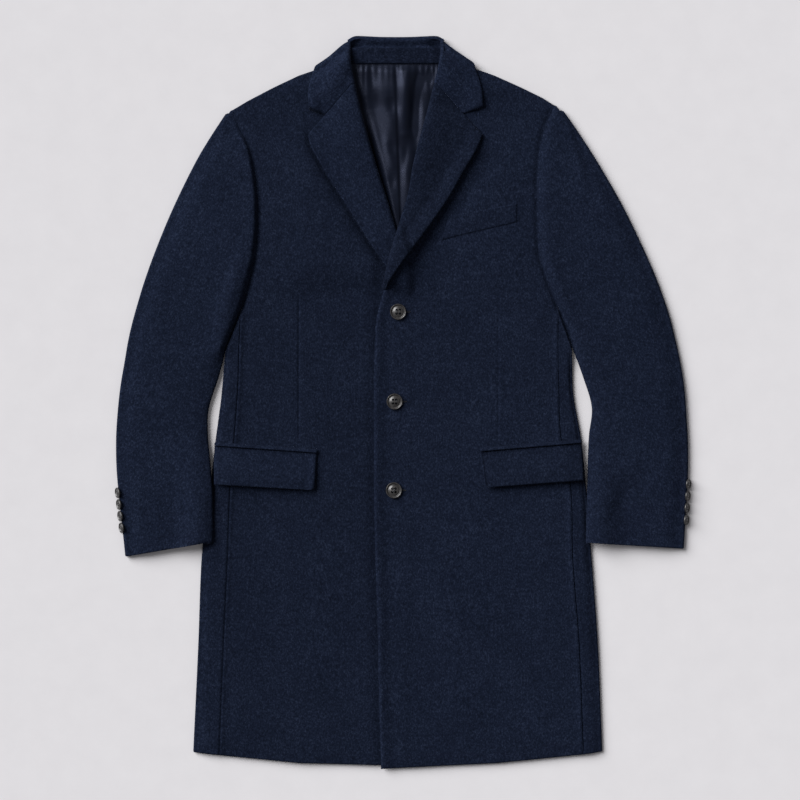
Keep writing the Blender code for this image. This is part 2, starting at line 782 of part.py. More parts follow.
def button_mesh(name, size, steps, material, cutters):
    """A round button with a dished face and four holes, standing on z = 0."""
    diameter, thickness, dish, hole, circle = (value * MM for value in size)
    radius = diameter / 2
    profile = [
        (0, 0),
        (0.8 * radius, 0),
        (radius, 0.45 * thickness),
        (0.93 * radius, 0.9 * thickness),
        (0.82 * radius, thickness),
        (0.62 * radius, thickness - dish),
        (0, thickness - dish),
    ]
    mesh = bpy.data.meshes.new(name)
    points = [(x, 0.0, z) for x, z in profile]
    mesh.from_pydata(points, [(k, k + 1) for k in range(len(points) - 1)], [])
    mesh.materials.append(material)
    blank = bpy.data.objects.new(name, mesh)
    cutters.objects.link(blank)
    screw = blank.modifiers.new("turn", "SCREW")
    screw.steps = screw.render_steps = steps
    screw.use_merge_vertices = True
    screw.merge_threshold = 1e-5
    screw.use_normal_calculate = True
    for k in range(HOLES):
        angle = 2 * math.pi * (k + 0.5) / HOLES
        bpy.ops.mesh.primitive_cylinder_add(vertices=8, radius=hole / 2, depth=4 * thickness)
        cutter = bpy.context.object
        cutter.name = f"{name}_hole_{k + 1}"
        cutter.location = (circle * math.cos(angle), circle * math.sin(angle), thickness / 2)
        cutter.display_type = "WIRE"
        for other in list(cutter.users_collection):
            other.objects.unlink(cutter)
        cutters.objects.link(cutter)
        cut = blank.modifiers.new(cutter.name, "BOOLEAN")
        cut.operation = "DIFFERENCE"
        cut.solver = "EXACT"
        cut.object = cutter
    graph = bpy.context.evaluated_depsgraph_get()
    graph.update()
    return bpy.data.meshes.new_from_object(blank.evaluated_get(graph))


def place_button(coat, name, mesh, place, axis):
    """A button with its back at a place in coat millimetres, facing along its axis."""
    button = bpy.data.objects.new(name, mesh)
    coat.collection.objects.link(button)
    button.rotation_mode = "QUATERNION"
    button.rotation_quaternion = Vector(axis).to_track_quat("Z", "Y")
    button.location = [(value + shift) * MM for value, shift in zip(place, (CENTRE_LINE_X, BOX_MIDDLE_Y, 0))]


def make_buttons(coat, cutters):
    front = button_mesh("front_button", FRONT_BUTTON, 24, coat.materials["horn"], cutters)
    for number, place in enumerate(FRONT_BUTTON_PLACES, 1):
        height = coat.pile.seat(np.array(place, float), FRONT_BUTTON[0] / 2)
        place_button(coat, f"button_{number}", front, (*place, float(height)), UP)
    small = button_mesh("sleeve_button", SLEEVE_BUTTON, 16, coat.materials["horn"], cutters)
    tilt = math.radians(SLEEVE_BUTTON_TILT)
    reach = FOLD_RADIUS + SEAM_GAP
    for side in (RIGHT, LEFT):
        _, outer, _, _ = sleeve_curves(side)
        across = outward(outer, (side * 900, 0))
        high, low = SLEEVE_BUTTON_SPAN[side]
        for number, y in enumerate(np.linspace(high, low, SLEEVE_BUTTONS), 1):
            x, out_x, out_y = (
                np.interp(-y, -outer[:, 1], values) for values in (outer[:, 0], across[:, 0], across[:, 1])
            )
            out = np.array([out_x, out_y, 0]) / math.hypot(out_x, out_y)
            axis = math.sin(tilt) * out + math.cos(tilt) * UP
            place = np.array([x, y, FOLD_RADIUS]) - FOLD_RADIUS * out + reach * axis
            name = f"sleeve_button_{SIDE_NAMES[side]}_{number}"
            place_button(coat, name, small, place, axis)


def main():
    for thing in list(bpy.data.objects):
        bpy.data.objects.remove(thing)
    collection = bpy.data.collections.new("wool_overcoat")
    bpy.context.scene.collection.children.link(collection)
    cutters = bpy.data.collections.new("cutters")
    bpy.context.scene.collection.children.link(cutters)
    materials = {}
    for name, (colour, roughness) in COLOURS.items():
        material = bpy.data.materials.new(name)
        material.use_nodes = True
        shader = material.node_tree.nodes["Principled BSDF"]
        shader.inputs["Base Color"].default_value = (*colour, 1.0)
        shader.inputs["Roughness"].default_value = roughness
        materials[name] = material
    coat = Coat(collection, materials)
    make_neck_band(coat)
    make_backs(coat)
    make_lining(coat)
    make_stand(coat)
    for side in (RIGHT, LEFT):
        make_side(coat, side)
    make_front(coat, RIGHT)
    make_lapel(coat, RIGHT)
    make_front(coat, LEFT)
    make_chest_welt(coat)
    make_lapel(coat, LEFT)
    for side in (RIGHT, LEFT):
        make_wing(coat, side)
        make_pocket(coat, side)
        for up in (1, -1):
            make_sleeve(coat, side, up)
    make_buttons(coat, cutters)
    cutters.hide_render = True


main()
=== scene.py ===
"""Looks of a dark navy wool overcoat that lies closed and flat on its back, seen from above.

Lengths are in millimetres, in the coat's own plan: X from the centre line towards the wearer's left,
Y from the hem towards the collar and Z up. They become metres of the frame where a mesh is made.
"""

import math

import bmesh
import bpy
import numpy as np
from mathutils import Matrix, Vector

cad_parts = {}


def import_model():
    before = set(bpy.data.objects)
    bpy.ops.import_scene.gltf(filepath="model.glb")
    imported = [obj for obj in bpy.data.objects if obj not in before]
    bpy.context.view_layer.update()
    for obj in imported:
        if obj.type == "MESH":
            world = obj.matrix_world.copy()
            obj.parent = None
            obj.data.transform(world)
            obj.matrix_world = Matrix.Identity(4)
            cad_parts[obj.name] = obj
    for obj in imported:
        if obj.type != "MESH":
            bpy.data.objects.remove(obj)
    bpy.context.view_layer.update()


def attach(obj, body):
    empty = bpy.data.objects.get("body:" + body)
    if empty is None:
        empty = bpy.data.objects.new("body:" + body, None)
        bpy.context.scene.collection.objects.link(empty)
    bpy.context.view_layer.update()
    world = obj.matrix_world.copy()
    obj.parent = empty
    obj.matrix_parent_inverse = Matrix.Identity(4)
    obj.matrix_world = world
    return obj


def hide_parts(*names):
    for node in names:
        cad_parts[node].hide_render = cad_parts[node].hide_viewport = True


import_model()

MM = 0.001
CENTRE_LINE_X = -9.9
BOX_MIDDLE_Y = -0.1

# ---------------------------------------------------------------- sizes, as in the frame

WOOL = 2.5
LINING = 1.0
SEAM_GAP = 0.3
BODY_HEIGHT = 8.0
FOLD_RADIUS = 4.0
ROLL_SET_BACK = WOOL + 2 * SEAM_GAP

RIGHT, LEFT = -1, 1
SIDE_NAMES = {RIGHT: "right", LEFT: "left"}

# Armhole seam, from the shoulder point down to the underarm: distance out from the centre line and
# height. The side seam starts at the last row but one.
#   right x, y, left x, y
ARMHOLE = [
    (229, 410, 221, 417),
    (219, 386, 209, 388),
    (204.5, 356, 200, 352),
    (195.5, 310, 197, 308),
    (193, 262, 197, 262),
    (196.5, 210, 200, 210),
    (205, 170, 212, 170),
    (217, 130, 227, 133),
    (238, 77, 246, 80),
]

# Front side seam and the fold along the side of the body beside it, down to the hem: distance out
# from the centre line and height.
#   right x, y, left x, y
SIDE_SEAM = [
    (217, 130, 227, 133),
    (219, 85, 226, 88),
    (221, 20, 227, 20),
    (226, -50, 230, -48),
    (232, -127, 244, -124),
    (235, -215, 246.5, -220),
    (240.8, -340, 255.4, -338),
    (246.8, -493, 261.4, -492),
]
SIDE_FOLD = [
    (238, 77, 246, 80),
    (241, 50, 247, 52),
    (245, 6, 249, 8),
    (253, -55, 260, -55),
    (261, -127, 267, -127),
    (272, -214, 274, -216),
    (277, -340, 283, -340),
    (284, -489, 289, -488),
]

# Shoulder line, from the neck (under the collar) to the shoulder point: distance out and height.
#   right x, y, left x, y
SHOULDER = [
    (76, 480, 76, 481),
    (104, 469, 104, 470),
    (136, 458, 138, 458),
    (172, 441, 176, 441),
    (207, 423, 205, 427),
    (229, 410, 221, 417),
]

# Roll line of collar and lapel, from the back corner of the neck to the break, in coat X. The gorge
# seam between collar and lapel meets it at GORGE_ROW.
#   right x, y, left x, y
ROLL_LINE = [
    (-63, 508, 61, 508),
    (-64, 492, 61, 492),
    (-62, 470, 58, 468),
    (-57, 445, 53, 446),
    (-47, 401, 43, 407),
    (-31, 344, 29, 356),
    (-15, 293, 18, 308),
    (0, 245, 6, 258),
    (11, 207, -9, 208),
    (21, 160, -20, 160),
]
GORGE_ROW = 3

# Front edge below the break, in coat X.
#   right x, y, left x, y
FRONT_EDGE = [
    (22, 135, -24, 135),
    (23, 104, -29, 104),
    (23, 25, -31, 25),
    (23, -52, -31, -52),
    (23, -141, -31, -141),
    (22, -220, -29, -220),
    (20, -318, -26, -318),
    (19, -416, -24, -416),
    (18, -508, -21, -512),
]

# Outer edge of each lapel, from its tip to just above the break, in coat X.
#   right x, y, left x, y
LAPEL_EDGE = [
    (-121, 378, 121, 375),
    (-120, 362, 113, 355),
    (-98, 322, 93, 320.5),
    (-67, 273, 71.5, 283),
    (-35, 222, 38, 235),
    (-8, 184, 8, 195),
    (14, 164, -12, 166),
]

# Collar's outer edge from the tip beside the notch to the shoulder, the notch's inner corner, and
# the line where the collar turns under over the shoulder, from the neck outwards.
#   right x, y, left x, y
COLLAR_EDGE = [
    (-122, 410, 122, 414),
    (-122, 440, 119, 442),
    (-113, 472, 109, 476),
]
NOTCH = [(-100, 401, 94, 404)]
COLLAR_TURN = [
    (-63, 508.5, 62, 510),
    (-75.6, 501, 80, 496),
    (-94, 485, 96, 485),
    (-113, 472, 109, 476),
]
COLLAR_UNDER_DEPTH = 14

NECK_SEAM_Y = 497
STAND_LOW_Y = 474.5
STAND_HALF = 65.0
FALL_HALF = 48
BAND_HEIGHT = 8.5

BACK_RISE = WOOL + SEAM_GAP
RISE_LOW_Y, RISE_HIGH_Y = 412, 446
LAP_DIP = 2.4
DIP_REACH = 16
DIP_HIGH_Y, DIP_LOW_Y = 226, 200

# Lining at the back of the neck: height and half width.
LINING_ROWS = [(478, 66), (440, 59), (400, 50), (350, 39), (300, 28), (240, 14)]

# Sleeve: outer edge opposite each row of the armhole, as distance out from the centre line.
#   right x, y, left x, y
SLEEVE_HEAD_EDGE = [
    (237, 407, 233, 411),
    (258, 375, 254, 381),
    (279, 340, 281, 339),
    (305, 288, 313, 284),
    (327, 238, 338, 234),
    (349, 180, 363, 178),
    (365, 128, 381, 128),
    (374, 92, 390, 94),
    (380, 58, 398, 58),
]
# Below the underarm: outer edge, inner edge, and how far the inner edge is lifted onto the body.
#   right outer x, y, inner x, y, lift, left outer x, y, inner x, y, lift
SLEEVE_LOW = [
    (386, 22, 247, 40, 0, 404, 20, 262, 36, 0),
    (390, -16, 262, -8, 0, 407, -20, 274, -6, 0),
    (392, -54, 263, -46, 0, 409, -58, 270, -46, 0),
    (391, -96, 259, -88, 5, 409, -96, 268, -90, 4),
    (387, -140, 256.5, -124, 8.3, 407, -134, 267, -124, 6.6),
    (383, -176, 256, -162, 8.3, 405, -170, 266, -160, 8.3),
    (379, -215, 256, -198, 8.3, 403, -204, 265, -198, 8.3),
]
LIFT_NEAR, LIFT_FAR = 18, 58

# Pocket flaps, in coat X: the top inner, top outer, low outer and low inner corners.
#   right x, y, left x, y
FLAP = [
    (-110.5, -70, 117.5, -68),
    (-254, -60, 260, -56),
    (-254, -114, 262, -108),
    (-114, -122, 124.5, -118),
]
FLAP_CORNER = 5
JET_WIDTH = 5
JET_THICKNESS = 1.8
JET_RISE = 1.7
CHEST_WELT = [(74, 262), (169, 279), (169, 253), (63, 228)]
WELT_THICKNESS = 0.9

# Buttons: radius, thickness and diameter of the holes.
FRONT_BUTTON = (11.25, 4.0, 3.6)
SLEEVE_BUTTON = (7.5, 3.0, 2.0)
FRONT_BUTTON_PLACES = [(3, 127.5), (-2, 2), (-3, -122)]
SLEEVE_BUTTONS = 4
SLEEVE_BUTTON_TILT = 62
SLEEVE_BUTTON_SPAN = {RIGHT: (-125.5, -174.5), LEFT: (-113.5, -163.5)}
# Buttonholes: where their loop starts and ends, out from the middle of the button, and its half width.
HOLE_NEAR, HOLE_FAR, HOLE_HALF_WIDTH = 7, 16.2, 0.6

# ---------------------------------------------------------------- relief of the laid cloth

# Creases: a soft ridge or trough along a line.
#   x1, y1, x2, y2, half width, height
CREASES = [
    # sleeve heads, wearer's left and right
    (236, 399, 250, 362, 6, 1.5),
    (250, 362, 266, 296, 7, 1.1),
    (249, 396, 262, 350, 6, -1.0),
    (262, 350, 276, 276, 8, -1.3),
    (-237, 398, -248, 366, 6, 1.3),
    (-248, 366, -257, 326, 7, 1.0),
    (-246, 380, -264, 320, 7, -0.7),
    # elbows and cuffs
    (-262, 4, -300, 16, 7, -1.4),
    (-278, 34, -326, 44, 8, -1.0),
    (-268, -30, -318, -44, 11, -0.7),
    (362, -78, 316, -146, 13, -1.5),
    (345, -60, 300, -118, 10, 1.1),
    (322, -128, 296, -176, 10, -0.9),
    (276, 22, 322, 40, 9, -0.9),
    (276, -10, 326, -14, 9, -0.8),
    # chest under the edges of the lapels
    (134, 346, 24, 184, 15, -3.0),
    # sleeves beside the low part of the armhole
    (-214, 215, -240, 118, 12, 4.0),
    (-226, 168, -258, 60, 12, 3.2),
    (-232, 310, -224, 190, 45, 3.6),
    (214, 205, 240, 120, 10, 1.8),
    # underarms and chest
    (205, 150, 176, 196, 11, -0.7),
    (-206, 150, -170, 200, 12, -0.8),
    (188, 220, 182, 310, 10, -0.6),
    (-188, 220, -184, 312, 10, -0.6),
    # skirt
    (70, -150, 96, -470, 26, 0.8),
    (160, -170, 178, -480, 24, -0.7),
    (-96, -160, -110, -480, 26, 0.7),
    (-176, -170, -190, -470, 24, -0.7),
]

# Waist darts, from below the chest to the pocket, in coat X.
#   x, high y, low y, depth
DARTS = {RIGHT: (-136, 160, -52, 1.1), LEFT: (143, 160, -52, 0.45)}
DART_WIDTH = 1.5
SEAM_DEPTH, SEAM_WIDTH = 1.3, 1.7

# Fullness of the body, in coat X: middle, half widths and height.
FULLNESS = [
    (-140, 262, 78, 110, 2.0),
    (142, 262, 78, 110, 1.6),
    (-130, -300, 120, 190, 0.8),
    (140, -300, 120, 190, 0.8),
]

# Trough along the armhole seam: height on the seam, depth on the right and on the left.
ARMHOLE_TROUGH = [
    (420, 0.3, 1.4),
    (395, 1.0, 1.7),
    (350, 2.0, 1.4),
    (300, 3.0, 1.4),
    (230, 3.6, 1.6),
    (170, 4.4, 2.4),
    (120, 5.2, 3.6),
    (77, 5.6, 4.6),
]
# Half widths of the trough on the body and on the sleeve.
ARMHOLE_WIDTH = {RIGHT: (6.0, 2.4), LEFT: (4.4, 4.4)}

# Slow unevenness of cloth that was smoothed by hand.
#   wavelength, heading in degrees, phase, height
SLOW_WAVES = [
    (173, 18, 0.3, 0.30),
    (121, 74, 1.9, 0.24),
    (87, 131, 4.0, 0.17),
    (59, 41, 2.4, 0.10),
    (43, 103, 5.2, 0.07),
]

# Slight unevenness of the lining, and how much it bellies out: at its top, and how much more at its foot.
LINING_TOOTH, LINING_BELLY, LINING_BELLY_GAIN = 0.16, 1.2, 4.0

# Lining: folds that hang from the neck seam, the pleat down the middle and the gathers under the seam.
#   x1, y1, x2, y2, half width, height
LINING_FOLDS = [
    (-8, 474, -7, 310, 18, 5.5),
    (-7, 360, -1, 250, 11, 3.2),
    (-47, 464, -43, 430, 7, -2.6),
    (-36, 466, -32, 438, 5, -1.8),
    (-7, 428, -5, 404, 7, -2.0),
    (-6, 368, -4, 344, 6, -1.6),
    (-5, 322, -4, 298, 5, -1.4),
    (15, 478, 13, 380, 10, 6.0),
    (17, 370, 15, 262, 10, 5.0),
    (34, 462, 30, 436, 6, -2.4),
    (49, 468, 46, 446, 6, -2.2),
    (28, 446, 25, 352, 10, -3.8),
    (-50, 472, -43, 410, 11, 4.0),
    (-42, 410, -22, 320, 9, 2.6),
    (38, 430, 34, 380, 8, 1.8),
    (16, 370, 12, 330, 5, -1.4),
]
PLEAT_TOP, PLEAT_FOOT = (-2, 476), (6, 250)
PLEAT_DEPTH, PLEAT_WIDTH, PLEAT_REACH = 2.0, 0.7, 9.0
GATHER_SPACING, GATHER_HEIGHT, GATHER_LENGTH = 8.0, 0.9, 16

# How far the visual pieces stand above the frame's flat layers.
SLEEVE_CROWN = 5.0
# Lip beside a seam's trough: its height as a share of the depth, and its place and width in widths of
# the trough.
LIP, LIP_PLACE, LIP_WIDTH = 0.12, 3.2, 2.4
LAPEL_BELLY = 1.5
LAPEL_EDGE_LIFT = {RIGHT: (3.4, 4.4), LEFT: (6.0, 10.5)}
LAPEL_EDGE_FALL, LAPEL_EDGE_REACH = {RIGHT: 0.3, LEFT: 0.95}, 25
ROLL_RISE, ROLL_REACH = {RIGHT: 7.5, LEFT: 5.5}, {RIGHT: 68, LEFT: 50}
WING_BELLY = 1.8
FLAP_LIFT, FLAP_SETTLE = 6.6, {RIGHT: 0.45, LEFT: 0.1}
# Curl of the flap's inner end: height, middle and half width.
FLAP_CURL = {RIGHT: (1.3, 3.5, 4.0), LEFT: (1.9, 0.0, 2.6)}
COLLAR_EDGE_LIFT = {RIGHT: 1.2, LEFT: 0.9}
WING_TIP_LIFT = {RIGHT: 6.0, LEFT: 3.0}
# How far the collar's low edge, between its tip and the notch, bends down towards the cloth.
WING_EDGE_BEND = {RIGHT: 7.0, LEFT: 1.0}
# How much higher the collar's roll gets towards the neck.
WING_RISE = {RIGHT: 4.0, LEFT: 0.0}
HIGHEST = 27.5
SIDE_DROP, SIDE_REACH = 2.6, 10
FRONT_EDGE_LIFT, FRONT_EDGE_REACH = 2.2, 20
HEM_DROP, SHOULDER_DROP = 1.2, 1.5
# Swell of the chest beside a lapel: heights with their reaches, where it starts, its top and foot, how
# far it fades there and, out from the centre line, towards the sleeve. A step across a lapel's slanting
# edge is this share of the same step along X.
CHEST_SWELL = {RIGHT: [(4.5, 4.0), (4.0, 16.0)], LEFT: []}
CHEST_START, CHEST_SPAN = 2, (400, 145)
CHEST_FADE, CHEST_ARM_FADE = 50, (115, 190)
LAPEL_SLANT = 0.85
ARMHOLE_ROUND = {RIGHT: (3.0, 4.5), LEFT: (9.0, 9.0)}
SLEEVE_ROUND_OUT = 16.0
INNER_FALL, INNER_TILT = 13.0, 20
EDGE_ROUNDING = 1.9

# ---------------------------------------------------------------- curves and grids

# Points that a smooth curve gets between two rows of its table.
SPAN_POINTS = 12


def named(kind, side):
    return f"{kind}_{SIDE_NAMES[side]}"


def column(rows, side):
    """The points of one side of a table."""
    start = 0 if side == RIGHT else len(rows[0]) // 2
    return np.array([row[start : start + 2] for row in rows], float)


def outer_column(rows, side):
    """The same, where a row holds distances out from the centre line."""
    return column(rows, side) * np.array([side, 1.0])


def smooth(points):
    """A Catmull-Rom curve through the points."""
    points = np.asarray(points, float)
    ends = [2 * points[0] - points[1], *points, 2 * points[-1] - points[-2]]
    found = [points[0]]
    for before, start, end, after in zip(ends, ends[1:], ends[2:], ends[3:]):
        for t in np.arange(1, SPAN_POINTS + 1) / SPAN_POINTS:
            bend = 2 * before - 5 * start + 4 * end - after
            twist = 3 * start - before - 3 * end + after
            found.append(start + 0.5 * ((end - before) * t + bend * t**2 + twist * t**3))
    return np.array(found)


def unit(vectors):
    """The same directions with length 1."""
    return vectors / np.linalg.norm(vectors, axis=-1, keepdims=True)


def lengths(points):
    """Length of a line from its start to each of its points."""
    steps = np.linalg.norm(np.diff(points, axis=0), axis=1)
    return np.concatenate([[0.0], np.cumsum(steps)])


def sampled(points, shares):
    """Points of a curve at the given shares of its length."""
    along = lengths(points)
    return np.stack([np.interp(shares * along[-1], along, axis) for axis in points.T], axis=1)


def outward(points, side_of):
    """Unit vectors across a plan curve, on the side of the given point."""
    tangent = unit(np.gradient(points, axis=0))
    across = np.stack([tangent[:, 1], -tangent[:, 0]], axis=1)
    middle = len(points) // 2
    if np.dot(across[middle], np.asarray(side_of) - points[middle]) < 0:
        across = -across
    return across


# How a grid's lines crowd towards a free edge, a sewn seam or a dart, as distances from it.
FREE = np.array([0.0, 0.35, 0.9, 1.7, 2.8, 4.2])
SEWN = np.array([0.0, 0.8, 1.7, 2.8, 4.2, 6.0])
TUCK = np.array([0.0, 0.7, 1.5, 2.5, 4.0])
PLAIN = np.array([0.0])
# Width of a grid's row where its curves meet.
NO_WIDTH = 1e-6
# The most that the crowded stretch at each end may take of a short line.
CROWDED_SHARE = 0.45


def spread(length, spacing, start, end):
    """Distances along a length, closer together at its ends. Rows of lengths give rows of distances."""
    length = np.atleast_1d(np.asarray(length, float))[:, None]
    squeeze = np.minimum(1, CROWDED_SHARE * length / (start[-1] + end[-1] + 1))
    first, last = start * squeeze, length - end[::-1] * squeeze
    count = max(2, int(math.ceil((length.max() - start[-1] - end[-1]) / spacing)))
    inside = np.arange(1, count) / count
    middle = first[:, -1:] + inside * (last[:, :1] - first[:, -1:])
    return np.hstack([first, middle, last])


class Grid:
    """A plan grid across a row of curves, with each point's distance to the first and the last one."""

    def __init__(self, curves, spacing, ends=(PLAIN, PLAIN), beside=(PLAIN, PLAIN)):
        long = lengths(curves[-1])[-1]
        self.from_start = spread(long, spacing, *ends)[0]
        self.to_end = long - self.from_start
        lines = [sampled(curve, self.from_start / long) for curve in curves]
        self.inner, self.outer = lines[0], lines[-1]
        parts = [lines[0][:, None]]
        for near, far, crowd_near, crowd_far in zip(lines, lines[1:], beside, beside[1:]):
            width = np.maximum(np.linalg.norm(far - near, axis=1), NO_WIDTH)
            share = spread(width, spacing, crowd_near, crowd_far) / width[:, None]
            parts.append((near[:, None] + share[:, :, None] * (far - near)[:, None])[:, 1:])
        self.plan = np.concatenate(parts, axis=1)
        steps = np.linalg.norm(np.diff(self.plan, axis=1), axis=2)
        self.from_inner = np.concatenate([np.zeros((len(steps), 1)), np.cumsum(steps, axis=1)], axis=1)
        self.to_outer = self.from_inner[:, -1:] - self.from_inner
        self.share = self.from_inner / self.from_inner[:, -1:]

    @property
    def x(self):
        return self.plan[..., 0]

    @property
    def y(self):
        return self.plan[..., 1]

    def pull(self, row, line, fade):
        """Moves the first row (0) or the last (-1) onto a line, and the rows near it less and less."""
        keep = 1 - ease(self.to_end if row else self.from_start, 0, fade)
        self.plan = self.plan + keep[:, None, None] * (line - self.plan[row])[None]


def ease(value, start, end):
    """0 at start and 1 at end, level at both."""
    share = np.clip((np.asarray(value, float) - start) / (end - start), 0, 1)
    return share * share * (3 - 2 * share)


def higher(one, two, blend=0.6):
    """The higher of two surfaces, with a soft change from one to the other."""
    return (one + two + np.sqrt((one - two) ** 2 + blend**2)) / 2


def bell(distance, width):
    """1 at no distance, and less and less away from it."""
    return np.exp(-((distance / width) ** 2))


def rounded(distance, reach):
    """0 at an edge and 1 well away from it, with a round shoulder between."""
    return 1 - bell(np.maximum(distance, 0), reach)


# Where a rounding stops, as a share of its quarter circle, so that it never stands upright.
ROUNDING_END = 0.95


def rounding(distance, radius=EDGE_ROUNDING):
    """How far a rounded edge lies below its sheet's face, at a distance from the edge."""
    near = np.clip(1 - distance / radius, 0, ROUNDING_END)
    return radius * (1 - np.sqrt(1 - near**2))


# ---------------------------------------------------------------- relief


# Where along a half sine wave a ridge's height starts and how far it goes: it isn't quite 0 at the ends.
RIDGE_START, RIDGE_RUN = 0.1, 0.8


def ridges(x, y, rows):
    """Height of the soft ridges and troughs of a table."""
    total = np.zeros(np.shape(x))
    for x1, y1, x2, y2, half_width, height in rows:
        run_x, run_y = x2 - x1, y2 - y1
        along = ((x - x1) * run_x + (y - y1) * run_y) / (run_x**2 + run_y**2)
        near = np.clip(along, 0, 1)
        away = np.hypot(x - x1 - near * run_x, y - y1 - near * run_y)
        total += height * np.sin(np.pi * (RIDGE_START + RIDGE_RUN * near)) * bell(away, half_width)
    return total


def waves(x, y):
    """Slow unevenness at plan points."""
    total = np.zeros(np.shape(x))
    for wavelength, heading, phase, height in SLOW_WAVES:
        angle = math.radians(heading)
        along = x * math.cos(angle) + y * math.sin(angle)
        total += height * np.sin(2 * np.pi * along / wavelength + phase)
    return total


def fullness(x, y):
    """Swell of the body at plan points."""
    total = np.zeros(np.shape(x))
    for middle_x, middle_y, half_x, half_y, height in FULLNESS:
        total += height * np.exp(-(((x - middle_x) / half_x) ** 4) - ((y - middle_y) / half_y) ** 4)
    return total


def dart(x, y, side):
    """A waist dart's trough, which fades out upwards and ends at the pocket."""
    dart_x, high, low, depth = DARTS[side]
    inside = ease(y, low - 4, low + 8) * (1 - ease(y, high - 30, high))
    return -depth * inside * bell(x - dart_x, DART_WIDTH)


def rise(y):
    """How far the back and all above it are raised by the collar's hidden fall."""
    return BACK_RISE * ease(y, RISE_LOW_Y, RISE_HIGH_Y)


def groove(distance, depth, width):
    """A seam's trough, at a distance from it, with a low lip on either side."""
    lip = LIP * bell(distance - LIP_PLACE * width, LIP_WIDTH * width)
    return depth * (lip - bell(distance, width))


def armhole_depth(y, side):
    """Depth of the trough along the armhole seam."""
    heights, right, left = np.array(ARMHOLE_TROUGH[::-1]).T
    return np.interp(y, heights, right if side == RIGHT else left)


def cloth_relief(x, y):
    """Creases, slow unevenness and swell of the laid cloth."""
    return ridges(x, y, CREASES) + waves(x, y) + fullness(x, y)


def chest_swell(x, y, side):
    """The chest stands fuller than the cloth under the lapel: height beside the lapel's edge."""
    edge = column(LAPEL_EDGE, side)[::-1]
    beside = LAPEL_SLANT * (side * x - np.interp(y, edge[:, 1], side * edge[:, 0]))
    beside = np.maximum(beside - CHEST_START, 0)
    high_y, low_y = CHEST_SPAN
    along = ease(y, low_y, low_y + CHEST_FADE) * (1 - ease(y, high_y - CHEST_FADE, high_y))
    swell = sum(height * (1 - np.exp(-beside / reach)) for height, reach in CHEST_SWELL[side])
    return swell * along * (1 - ease(side * x, *CHEST_ARM_FADE))


def front_level(grid, side):
    """Height of a front's upper face. The right one dips where the left one laps over it."""
    level = BODY_HEIGHT + rise(grid.y) + cloth_relief(grid.x, grid.y) + dart(grid.x, grid.y, side)
    if side == RIGHT:
        lap = column(FRONT_EDGE, LEFT)[::-1]
        beside = grid.x - np.interp(grid.y, lap[:, 1], lap[:, 0])
        under = np.clip(1 + beside / DIP_REACH, 0, 1) ** 2
        level = level - LAP_DIP * under * ease(grid.y, DIP_HIGH_Y, DIP_LOW_Y)
    return level + chest_swell(grid.x, grid.y, side)


# ---------------------------------------------------------------- layers


class Pile:
    """How high the layers laid so far reach, on a square map of the surface."""

    CELL = 2.0
    HALF_X, HALF_Y = 440, 540

    def __init__(self):
        self.top = np.zeros((int(2 * self.HALF_X / self.CELL), int(2 * self.HALF_Y / self.CELL)))

    def lay(self, points):
        """Raises the map to a surface of rows x columns x 3 points."""
        for axis in (0, 1):
            filled = [between(points, axis, share) for share in (1 / 3, 2 / 3)]
            points = np.concatenate([points, *filled], axis)
        i = np.clip((points[..., 0] + self.HALF_X) / self.CELL, 0, self.top.shape[0] - 1).astype(int)
        j = np.clip((points[..., 1] + self.HALF_Y) / self.CELL, 0, self.top.shape[1] - 1).astype(int)
        np.maximum.at(self.top, (i.ravel(), j.ravel()), points[..., 2].ravel())

    def seat(self, x, y, reach=4.0, soft=4.0):
        """Lowest underside over plan points: clear of all within reach, and smoothed over soft."""
        level = self.top
        for axis in (0, 1):
            widest = level
            for shift in range(1, int(round(reach / self.CELL)) + 1):
                widest = np.maximum(widest, np.roll(level, shift, axis))
                widest = np.maximum(widest, np.roll(level, -shift, axis))
            level = widest
        half = int(round(soft / self.CELL / 2))
        for _ in range(2):
            for axis in (0, 1):
                total = sum(np.roll(level, shift, axis) for shift in range(-half, half + 1))
                level = total / (2 * half + 1)
        at_x = np.clip((x + self.HALF_X) / self.CELL - 0.5, 0, level.shape[0] - 2)
        at_y = np.clip((y + self.HALF_Y) / self.CELL - 0.5, 0, level.shape[1] - 2)
        i, j = at_x.astype(int), at_y.astype(int)
        u, v = at_x - i, at_y - j
        low = (1 - u) * level[i, j] + u * level[i + 1, j]
        high = (1 - u) * level[i, j + 1] + u * level[i + 1, j + 1]
        return (1 - v) * low + v * high + SEAM_GAP


def between(points, axis, share):
    """Points between neighbours along an axis, at a share of the way."""
    found = points + share * (np.roll(points, -1, axis) - points)
    return np.delete(found, -1, axis)


pile = Pile()

# ---------------------------------------------------------------- meshes

UP = np.array([0.0, 0.0, 1.0])


def in_space(across):
    """A plan direction as a level direction in space."""
    return np.concatenate([across, np.zeros((*across.shape[:-1], 1))], axis=-1)


def fold_angles(last, count):
    """Even steps of a turn, in degrees."""
    return [last * k / count for k in range(1, count + 1)]


HALF_FOLD = fold_angles(180, 12)


def edge_turn(edge, facing, across, radius, angles):
    """Columns that turn a surface over at its edge, as (points, normals) for each angle."""
    radius = np.broadcast_to(radius, len(edge))[:, None]
    centre = edge - radius * across - radius * facing
    found = []
    for angle in angles:
        turned = math.radians(angle)
        normal = math.cos(turned) * facing + math.sin(turned) * across
        found.append((centre + radius * normal, normal))
    return found


def flat_columns(plan, heights, up=1):
    """Columns of a level grid at the given heights, as (points, normals) for each."""
    points = np.dstack([plan, heights])
    facing = np.broadcast_to(up * UP, points[:, 0].shape)
    return [(points[:, k], facing) for k in range(points.shape[1])]


def grids(columns):
    """Grids of points and of normals from a list of columns."""
    return [np.stack(parts, axis=1) for parts in zip(*columns)]


